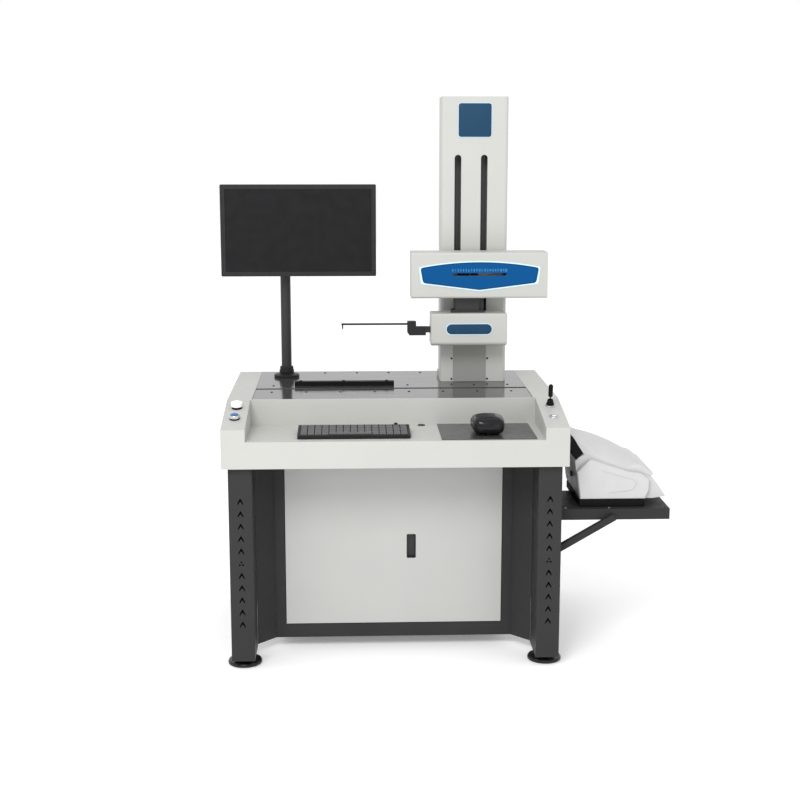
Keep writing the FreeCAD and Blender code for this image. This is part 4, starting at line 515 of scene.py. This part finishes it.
def rounded_copy(node, width, segments=3, angle=40, reshape=None):
    """A copy of a node with its sharp edges rounded by a width in millimetres."""
    piece = copy_of(nodes[node])
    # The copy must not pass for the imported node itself, so it loses the node's own marks.
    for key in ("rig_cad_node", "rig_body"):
        if key in piece:
            del piece[key]
    open_mesh(piece)
    bpy.ops.mesh.customdata_custom_splitnormals_clear()
    bpy.ops.mesh.remove_doubles(threshold=MERGE * MM)
    bpy.ops.mesh.dissolve_limited(angle_limit=math.radians(FLAT_DEGREES))
    close_mesh()
    if reshape:
        reshape(piece)
    apply_modifier(piece, "BEVEL", width=width * MM, segments=segments, limit_method="ANGLE",
                   angle_limit=math.radians(angle), miter_outer="MITER_ARC")
    smooth_below(35)
    apply_modifier(piece, "WEIGHTED_NORMAL", keep_sharp=True)
    material = finish_of[node].material
    finish_piece(piece, node + "_rounded", body_of[node], material)
    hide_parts(node)
    return piece


# Widths in millimetres
edge_widths = {
    "table_housing": 3.0, "leg_front_left": 1.2, "leg_front_right": 1.2, "rear_legs": 3.0,
    "cabinet_body": 1.5, "cabinet_door": 1.5, "front_plate": 0.6, "rear_plate": 0.6,
    "stop_rail": 0.8, "column_housing": 1.2, "column_lower_plate": 0.3, "x_housing": 1.5,
    "head_housing": 1.0, "head_bracket": 0.6, "arm_block": 0.5, "gauge_lever": 0.6,
    "monitor_housing": 1.5, "monitor_screen": 0.3, "keyboard_keys": 0.9, "space_bar": 0.9,
    "keyboard_base": 1.5, "mouse_mat": 0.6, "shelf_tray": 1.5, "shelf_brace": 1.5,
    "printer_base": 2.0, "swivel_arm": 1.0, "button_rings": 0.3, "joystick_lever": 0.6,
}
for node, width in edge_widths.items():
    rounded_copy(node, width)
print("rounded", len(edge_widths), "nodes")

# %% [markdown]
# ## Lines round the blue plates
# Each small plate is printed with a pale line along its edge and a darker one inside it. On
# a copy of each badge the front face is inset twice, and the two rings that the insets leave
# get their own colours, so that the lines stay sharp from any distance. The large plate
# already has its lines in its finish and only gets its edges rounded.

# %% Line the blue plates
PLATE_EDGE = 0.3
FRONT_SKIN = 0.1
SQUARE_ON = 0.99


def inset_ring(piece, width, material_index, wanted=lambda face: True):
    """Insets the selected faces and colours those left outside that have no colour yet."""
    inset(width)
    mesh = bmesh.from_edit_mesh(piece.data)
    for face in mesh.faces:
        if not face.select and face.material_index == 0 and wanted(face):
            face.material_index = material_index
    bmesh.update_edit_mesh(piece.data)


def lined_plate(node, pale, deep):
    """A copy of a plate with a pale and a deep line round its front face."""
    piece = rounded_copy(node, PLATE_EDGE, segments=2)
    skin = min(vertex.co.y for vertex in piece.data.vertices) / MM + FRONT_SKIN
    piece.data.materials.append(edge_pale.material)
    piece.data.materials.append(edge_deep.material)
    open_mesh(piece)
    select_faces(piece, lambda middle, normal: normal.y < -SQUARE_ON and middle.y < skin)
    inset_ring(piece, pale, 1)
    inset_ring(piece, deep, 2)
    close_mesh()


lined_plate("column_badge", pale=1.2, deep=1.4)
lined_plate("head_badge", pale=2.0, deep=1.2)
rounded_copy("x_panel", PLATE_EDGE, segments=2)
print("two plates lined, one rounded")

# %% [markdown]
# ## The third button
# The cap of the third button is white with a blue ring moulded round its rim. The top of its
# copy is inset once, and what lies outside the inset and still looks up becomes the ring.

# %% Ring the third button
RING_WIDTH = 2.4
LOOKS_UP = 0.85
ring_cap = rounded_copy("ring_button_cap", PLATE_EDGE, segments=2)
ring_cap.data.materials.append(ring_blue.material)
open_mesh(ring_cap)
select_faces(ring_cap, lambda middle, normal: normal.z > LOOKS_UP)
inset_ring(ring_cap, RING_WIDTH, 1, lambda face: face.normal.z > LOOKS_UP)
close_mesh()
print("button ringed")

# %% [markdown]
# ## Numbers on the scale
# The slit shows where the carriage stands, and plain numbers from 0 to 20 run above it with
# a tick under each. Each number is a text object turned into a mesh, thin as ink, which
# stays crisp where a picture of a number would blur. All of them are joined into one piece
# that rides with the drive unit.

# %% Print the scale
SCALE_LEFT, SCALE_RIGHT, SCALE_Z = 200.0, 373.5, 1181.0
LAST_NUMBER = 20
DIGIT_HEIGHT = 12.0
ONE_DIGIT_WIDTH, TWO_DIGIT_WIDTH = 0.62, 0.5
INK, INK_PROUD = 0.04, 0.05
TICK = (0.4, 0.08, 2.4)


def on_scale(x, z):
    """A place on the face of the blue plate."""
    return Vector((at(x, 0, 0).x, panel_low.y - INK_PROUD * MM, z * MM))


def scale_number(number, x):
    """One upright number on the face of the blue plate."""
    bpy.ops.object.text_add(location=(0, 0, 0))
    text = bpy.context.active_object
    text.data.body = str(number)
    text.data.size = DIGIT_HEIGHT * MM
    text.data.align_x = "CENTER"
    text.data.extrude = INK * MM
    pick(text)
    bpy.ops.object.convert(target="MESH")
    text.scale.x = ONE_DIGIT_WIDTH if number < 10 else TWO_DIGIT_WIDTH
    text.rotation_euler = (math.pi / 2, 0, 0)
    text.location = on_scale(x, SCALE_Z)
    settle(text)
    return text


def scale_tick(x):
    """A short tick between a number and the slit."""
    bpy.ops.mesh.primitive_cube_add(size=1)
    tick = bpy.context.active_object
    tick.scale = Vector(TICK) * MM
    tick.location = on_scale(x, SCALE_Z - TICK[2])
    settle(tick)
    return tick


marks = []
for number in range(LAST_NUMBER + 1):
    place = SCALE_LEFT + (SCALE_RIGHT - SCALE_LEFT) / LAST_NUMBER * number
    marks += [scale_number(number, place), scale_tick(place)]
pick(*marks)
bpy.ops.object.join()
finish_piece(bpy.context.active_object, "scale_print", "lift", pale_ink.material)
print("scale marks", len(marks))

# %% [markdown]
# ## Socket screws
# The cover plates, the column and the shelf are held by small button-head screws. One screw
# is made from a cylinder: the top is inset twice and pushed in as a round socket, and the rim
# is bevelled. It is copied to each place where the model has a plain head, because a screw
# that is modelled once looks the same everywhere, as bought screws do.

# %% Make one screw
HEAD_RADIUS, HEAD_HEIGHT, HEAD_SIDES = 4.0, 1.4, 24
RIM_WIDTH, SOCKET_WALL, SOCKET_DEPTH = 0.7, 1.2, 0.9
RIM_BEVEL = 0.35


def socket_screw():
    """A button head that stands on z = 0."""
    bpy.ops.mesh.primitive_cylinder_add(
        vertices=HEAD_SIDES, radius=HEAD_RADIUS * MM, depth=HEAD_HEIGHT * MM,
        location=(0, 0, HEAD_HEIGHT / 2 * MM))
    screw = bpy.context.active_object
    settle(screw)
    open_mesh(screw)
    select_faces(screw, lambda middle, normal: normal.z > SQUARE_ON)
    inset(RIM_WIDTH)
    inset(SOCKET_WALL)
    extrude(0, 0, -SOCKET_DEPTH)
    close_mesh()
    apply_modifier(screw, "BEVEL", width=RIM_BEVEL * MM, segments=3, limit_method="ANGLE")
    smooth_below(40)
    return screw


first_screw = socket_screw()
print("screw faces", len(first_screw.data.polygons))

# %% Find the plain heads
def loose_parts(node):
    """The low and high corner of every separate solid in a node."""
    open_mesh(copy_of(nodes[node]))
    bpy.ops.mesh.remove_doubles(threshold=MERGE * MM)
    bpy.ops.mesh.separate(type="LOOSE")
    close_mesh()
    corners = []
    for part in list(bpy.context.selected_objects):
        points = [part.matrix_world @ vertex.co for vertex in part.data.vertices]
        low = Vector([min(point[axis] for point in points) for axis in range(3)])
        high = Vector([max(point[axis] for point in points) for axis in range(3)])
        corners.append((low, high))
        bpy.data.objects.remove(part)
    return sorted(corners, key=lambda pair: tuple(pair[0]))


plain_heads = loose_parts("cover_screws")
print("plain heads", len(plain_heads))

# %% Put a screw in each place
FRONT_SCREW = (0.86, 0.86, 1.2)
SHELF_END = 40
UNDER_SHELF = 5
UNDER_TOP = 60
shelf_low, shelf_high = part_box("shelf_tray")
dark_screws, light_screws = [], []
for low, high in plain_heads:
    screw = copy_of(first_screw)
    middle = (low + high) / 2
    upright = high.z - low.z < high.y - low.y
    if upright:
        screw.location = (middle.x, middle.y, low.z)
    else:
        screw.location = (middle.x, high.y, middle.z)
        screw.rotation_euler = (math.pi / 2, 0, 0)
        screw.scale = FRONT_SCREW
    settle(screw)
    over_shelf = shelf_low.x < low.x < shelf_high.x - SHELF_END * MM
    at_shelf = shelf_low.z - UNDER_SHELF * MM < low.z < TABLE_TOP - UNDER_TOP * MM
    (light_screws if upright and over_shelf and at_shelf else dark_screws).append(screw)
bpy.data.objects.remove(first_screw)
for screws, name, finish in ((dark_screws, "socket_screws", dark_screw),
                             (light_screws, "shelf_screws", bright_steel)):
    pick(*screws)
    bpy.ops.object.join()
    joined = bpy.context.active_object
    finish_piece(joined, name, "bench", finish.material)
    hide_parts("cover_screws")
    print(name, len(screws))

# %% [markdown]
# ## The mouse
# The mouse is a smooth shell with two keys, a wheel between them and a grip for the thumb.
# A cube is chamfered, its top and its palm end are drawn in, and a subdivision surface makes
# the block smooth: the few corners of the block are easier to judge than hundreds of points.
# The front is lowered towards the wheel, the bottom is cut flat, and the seams of the keys
# and the grip are pressed into the finished surface.

# %% Shape the mouse
CHAMFER = 15
TOP_DRAWN_IN = (0.86, 0.84, 1)
PALM_DRAWN_IN = (0.74, 1, 0.8)
FRONT_DROP = 0.2
mouse_low, mouse_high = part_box("mouse_body")
mouse_middle = (mouse_low + mouse_high) / 2
mouse_size = mouse_high - mouse_low
bpy.ops.mesh.primitive_cube_add(size=1, location=(0, 0, 0))
mouse = bpy.context.active_object
mouse.scale = mouse_size
settle(mouse)
open_mesh(mouse)
bpy.ops.mesh.bevel(offset=CHAMFER * MM, segments=1)
select_faces(mouse, lambda middle, normal: normal.z > SQUARE_ON)
bpy.ops.transform.resize(value=TOP_DRAWN_IN)
select_faces(mouse, lambda middle, normal: normal.y < -SQUARE_ON)
bpy.ops.transform.resize(value=PALM_DRAWN_IN)
close_mesh()
apply_modifier(mouse, "SUBSURF", levels=4)
mouse.dimensions = mouse_size
settle(mouse)
for vertex in mouse.data.vertices:
    front = max(vertex.co.y / (mouse_size.y / 2), 0)
    height = vertex.co.z + mouse_size.z / 2
    vertex.co.z = height * (1 - FRONT_DROP * front * front)
print("mouse shell", len(mouse.data.polygons), "faces")

# %% Press in keys, grip and wheel slot
SOLE = 1.5
TOP_SIDE, THUMB_SIDE = 0.3, -0.7
KEY_START, KEY_GAP = 6, 4
SEAM_WIDTH, SEAM_DEPTH = 0.5, 0.7
SLOT_HALF, SLOT_BACK, SLOT_FRONT, SLOT_DEPTH = 5.5, 16, 50, 9
GRIP_HALF, GRIP_LOW, GRIP_HIGH, GRIP_EDGE, GRIP_DEPTH = 36, 12, 42, 1.2, 1.6
open_mesh(mouse)
bpy.ops.mesh.bisect(plane_co=(0, 0, SOLE * MM), plane_no=(0, 0, 1), use_fill=True,
                    clear_inner=True)
for side in (-1, 1):
    select_faces(mouse, lambda middle, normal: normal.z > TOP_SIDE and middle.y > KEY_START
                 and middle.x * side > KEY_GAP)
    inset(SEAM_WIDTH, -SEAM_DEPTH)
    inset(SEAM_WIDTH, SEAM_DEPTH)
select_faces(mouse, lambda middle, normal: normal.z > TOP_SIDE and abs(middle.x) < SLOT_HALF
             and SLOT_BACK < middle.y < SLOT_FRONT)
extrude(0, 0, -SLOT_DEPTH)
select_faces(mouse, lambda middle, normal: normal.x < THUMB_SIDE and abs(middle.y) < GRIP_HALF
             and GRIP_LOW < middle.z < GRIP_HIGH)
inset(GRIP_EDGE, -GRIP_DEPTH)
close_mesh()
smooth_below(50)
mouse.location = Vector((mouse_middle.x, mouse_middle.y, mouse_low.z))
finish_piece(mouse, "mouse_shell", body_of["mouse_body"],
             mouse_black.material)
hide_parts("mouse_body")
print("mouse finished", len(mouse.data.polygons), "faces")

# %% [markdown]
# ## The printer
# The printer's side panels stand upright, but above them body and cover are a dome. The
# model's are plain extrusions, so before their edges are rounded they are cut into a grid,
# and every point above the side panel's sloping top sinks, the more the nearer it lies to a
# side. Moving the points keeps the outline seen from the side, which a new shape would not.

# %% The slope of the side panels
PANEL_TOP = ((548, 604, 0.5), (601, 631, -0.34), (788, 567, -1.1))


def panel_top(x):
    """Height of the side panel's sloping top, in millimetres, at a place along the printer."""
    runs = [run for run in PANEL_TOP if x >= run[0]] or PANEL_TOP[:1]
    start, height, slope = runs[-1]
    return height + (x - start) * slope


def ease(share):
    """0 to 1 with a soft start and end."""
    share = min(max(share, 0), 1)
    return share * share * (3 - 2 * share)


print("panel top at the middle", round(panel_top(680), 1))

# %% Dome body and cover
CUTS_ACROSS = (-0.94, -0.84, -0.7, -0.5, -0.25, 0, 0.25, 0.5, 0.7, 0.84, 0.94)
CUTS_ALONG = range(556, 782, 16)
DOME_START, NEAR_RISE, FAR_RISE = 552, 95, 45
DOME_END, REAR_FALL = 775, 60
DOME_DROP = 0.85
printer_low, printer_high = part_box("printer_cover")
PRINTER_MIDDLE = (printer_low.y + printer_high.y) / 2
PRINTER_HALF = (printer_high.y - printer_low.y) / 2


def dome(piece):
    """Cuts a piece into a grid and sinks what lies above the side panels towards the sides."""
    open_mesh(piece)
    across = [((0, PRINTER_MIDDLE + share * PRINTER_HALF, 0), (0, 1, 0)) for share in CUTS_ACROSS]
    along = [(at(x, 0, 0), (1, 0, 0)) for x in CUTS_ALONG]
    for place, direction in across + along:
        bpy.ops.mesh.select_all(action="SELECT")
        bpy.ops.mesh.bisect(plane_co=place, plane_no=direction)
    close_mesh()
    for vertex in piece.data.vertices:
        x = (vertex.co.x - BENCH.x) / MM
        low = panel_top(x) * MM
        side = (vertex.co.y - PRINTER_MIDDLE) / PRINTER_HALF
        rise = ease((x - DOME_START) / (NEAR_RISE if side < 0 else FAR_RISE))
        drop = DOME_DROP * min(abs(side), 1) ** 3 * rise * ease((DOME_END - x) / REAR_FALL)
        if vertex.co.z > low:
            vertex.co.z = low + (vertex.co.z - low) * (1 - drop)


rounded_copy("printer_body", 3.0, segments=4, angle=30, reshape=dome)
rounded_copy("printer_cover", 4.0, segments=4, angle=30, reshape=dome)
print("printer domed between", DOME_START, "and", DOME_END)

# %% [markdown]
# ## The paper mouth and the line on the panel
# Between cover and body the printer opens into a black mouth, and a thin arrow-shaped line is
# moulded on its near panel. Its grey is painted shade: it stands for the soft shadow along the
# raised line. Both are bars with a drawn outline: a circle with as many points as the outline
# has corners is laid on them and extruded. The mouth is then hollowed from the front, so that
# its edge shows as a lip.

# %% Fill the paper mouth
MOUTH = ((550, 694), (583, 650), (560, 627), (549, 645))
MOUTH_NEAR, MOUTH_FAR = 133, 375
LIP, HOLLOW, HOLLOW_FALL = 4, 8, 2
LOOKS_OUT = -0.5


def prism(outline, near, far):
    """A bar along y whose end is an outline of x and z, all in bench millimetres."""
    bpy.ops.mesh.primitive_circle_add(vertices=len(outline), fill_type="NGON", location=(0, 0, 0))
    bar = bpy.context.active_object
    for vertex, (x, z) in zip(bar.data.vertices, outline):
        vertex.co = at(x, near, z)
    open_mesh(bar)
    extrude(0, far - near, 0)
    bpy.ops.mesh.select_all(action="SELECT")
    bpy.ops.mesh.normals_make_consistent(inside=False)
    close_mesh()
    return bar


mouth = prism(MOUTH, MOUTH_NEAR, MOUTH_FAR)
open_mesh(mouth)
select_faces(mouth, lambda middle, normal: normal.x < LOOKS_OUT)
inset(LIP)
extrude(HOLLOW, 0, -HOLLOW_FALL)
close_mesh()
finish_piece(mouth, "printer_mouth", "bench", deep_black.material)
print("mouth filled,", len(mouth.data.polygons), "faces")

# %% Mould the line on the near panel
LINE = [(639.4, 596.5), (689.1, 580.8), (734.5, 568.2), (749.6, 559.1),
        (738.9, 534.4), (711.2, 529.0), (663.2, 524.8)]
LINE_MIDDLE_X, LINE_MIDDLE_Z = 690, 560
DRAW_X, DRAW_Z = 0.03, 0.05
LINE_PROUD, LINE_SUNK = 0.7, 1
inner_line = [(x + (LINE_MIDDLE_X - x) * DRAW_X, z + (LINE_MIDDLE_Z - z) * DRAW_Z)
              for x, z in LINE]
body_mesh = bpy.data.objects["printer_body_rounded"].data
near_face = (min(vertex.co.y for vertex in body_mesh.vertices) - BENCH.y) / MM
line = prism(LINE + inner_line[::-1], near_face - LINE_PROUD, near_face + LINE_SUNK)
# The ridge is really raised; its grey colour is painted shade for the shadow along it.
finish_piece(line, "panel_line", "bench", ridge_shade_grey.material)
print("line moulded on the panel at", round(near_face, 1))

# %% [markdown]
# ## Studio
# The picture was taken against white with broad soft light, so the world is an even white,
# the floor is a pale matt sheet, and one large lamp high up on the left gives the fronts
# their shape and lets each overhang throw a soft shade. A second, weaker one fills the
# right side. The floor lies half a millimetre under the feet, so that it never cuts into them.

# %% Lay the floor
FLOOR_SIZE = 24
FLOOR_PLACE = (0, 6, -0.0005)
bpy.ops.mesh.primitive_plane_add(size=FLOOR_SIZE, location=FLOOR_PLACE)
floor = bpy.context.active_object
floor.name = "studio_floor"
settle(floor)
floor_finish = Finish("studio_floor", (0.9, 0.9, 0.9), 0.9)
floor_finish.set("Emission Color", (1, 1, 1, 1)).set("Emission Strength", 0.2)
floor.data.materials.append(floor_finish.material)
print("floor laid,", FLOOR_SIZE, "metres wide")

# %% Hang the lamps
LIT_PLACE = Vector((0, 0, 0.8))


def lamp(name, place, power, width):
    """A square area lamp that points at the middle of the station."""
    bpy.ops.object.light_add(type="AREA", location=place)
    light = bpy.context.active_object
    light.name = name
    light.data.energy = power
    light.data.size = width
    light.rotation_euler = (LIT_PLACE - Vector(place)).to_track_quat("-Z", "Y").to_euler()


lamp("key_lamp", (-1.3, -3.6, 3.5), power=108, width=1.6)
lamp("fill_lamp", (2.6, -4.6, 1.3), power=12, width=2.2)
world = bpy.data.worlds.new("studio")
world.use_nodes = True
background = world.node_tree.nodes["Background"]
background.inputs["Color"].default_value = (1, 1, 1, 1)
background.inputs["Strength"].default_value = 1.0
bpy.context.scene.world = world
bpy.context.scene.view_settings.view_transform = "Standard"
print("studio lit")

# %% [markdown]
# ## Camera
# The photograph was taken from about four metres, a little left of the bench's middle and
# looking ten degrees down. Place, turn and focal length were solved from the bench's
# straight edges, so the render can be laid over the photograph.

# %% Set the camera
CAMERA_PLACE = (-137.8, -3974.2, 1572.4)
CAMERA_YAW, CAMERA_PITCH = 2.152, 10.398
FOCAL_PIXELS, IMAGE_PIXELS = 1369.0, 800
camera_data = bpy.data.cameras.new("camera")
camera_data.sensor_width = 36
camera_data.lens = FOCAL_PIXELS / IMAGE_PIXELS * camera_data.sensor_width
camera_data.clip_end = 100
camera = bpy.data.objects.new("camera", camera_data)
camera.location = at(*CAMERA_PLACE)
camera.rotation_euler = (math.radians(90 - CAMERA_PITCH), 0, math.radians(-CAMERA_YAW))
bpy.context.scene.collection.objects.link(camera)
bpy.context.scene.camera = camera
print("lens", round(camera_data.lens, 2), "mm")
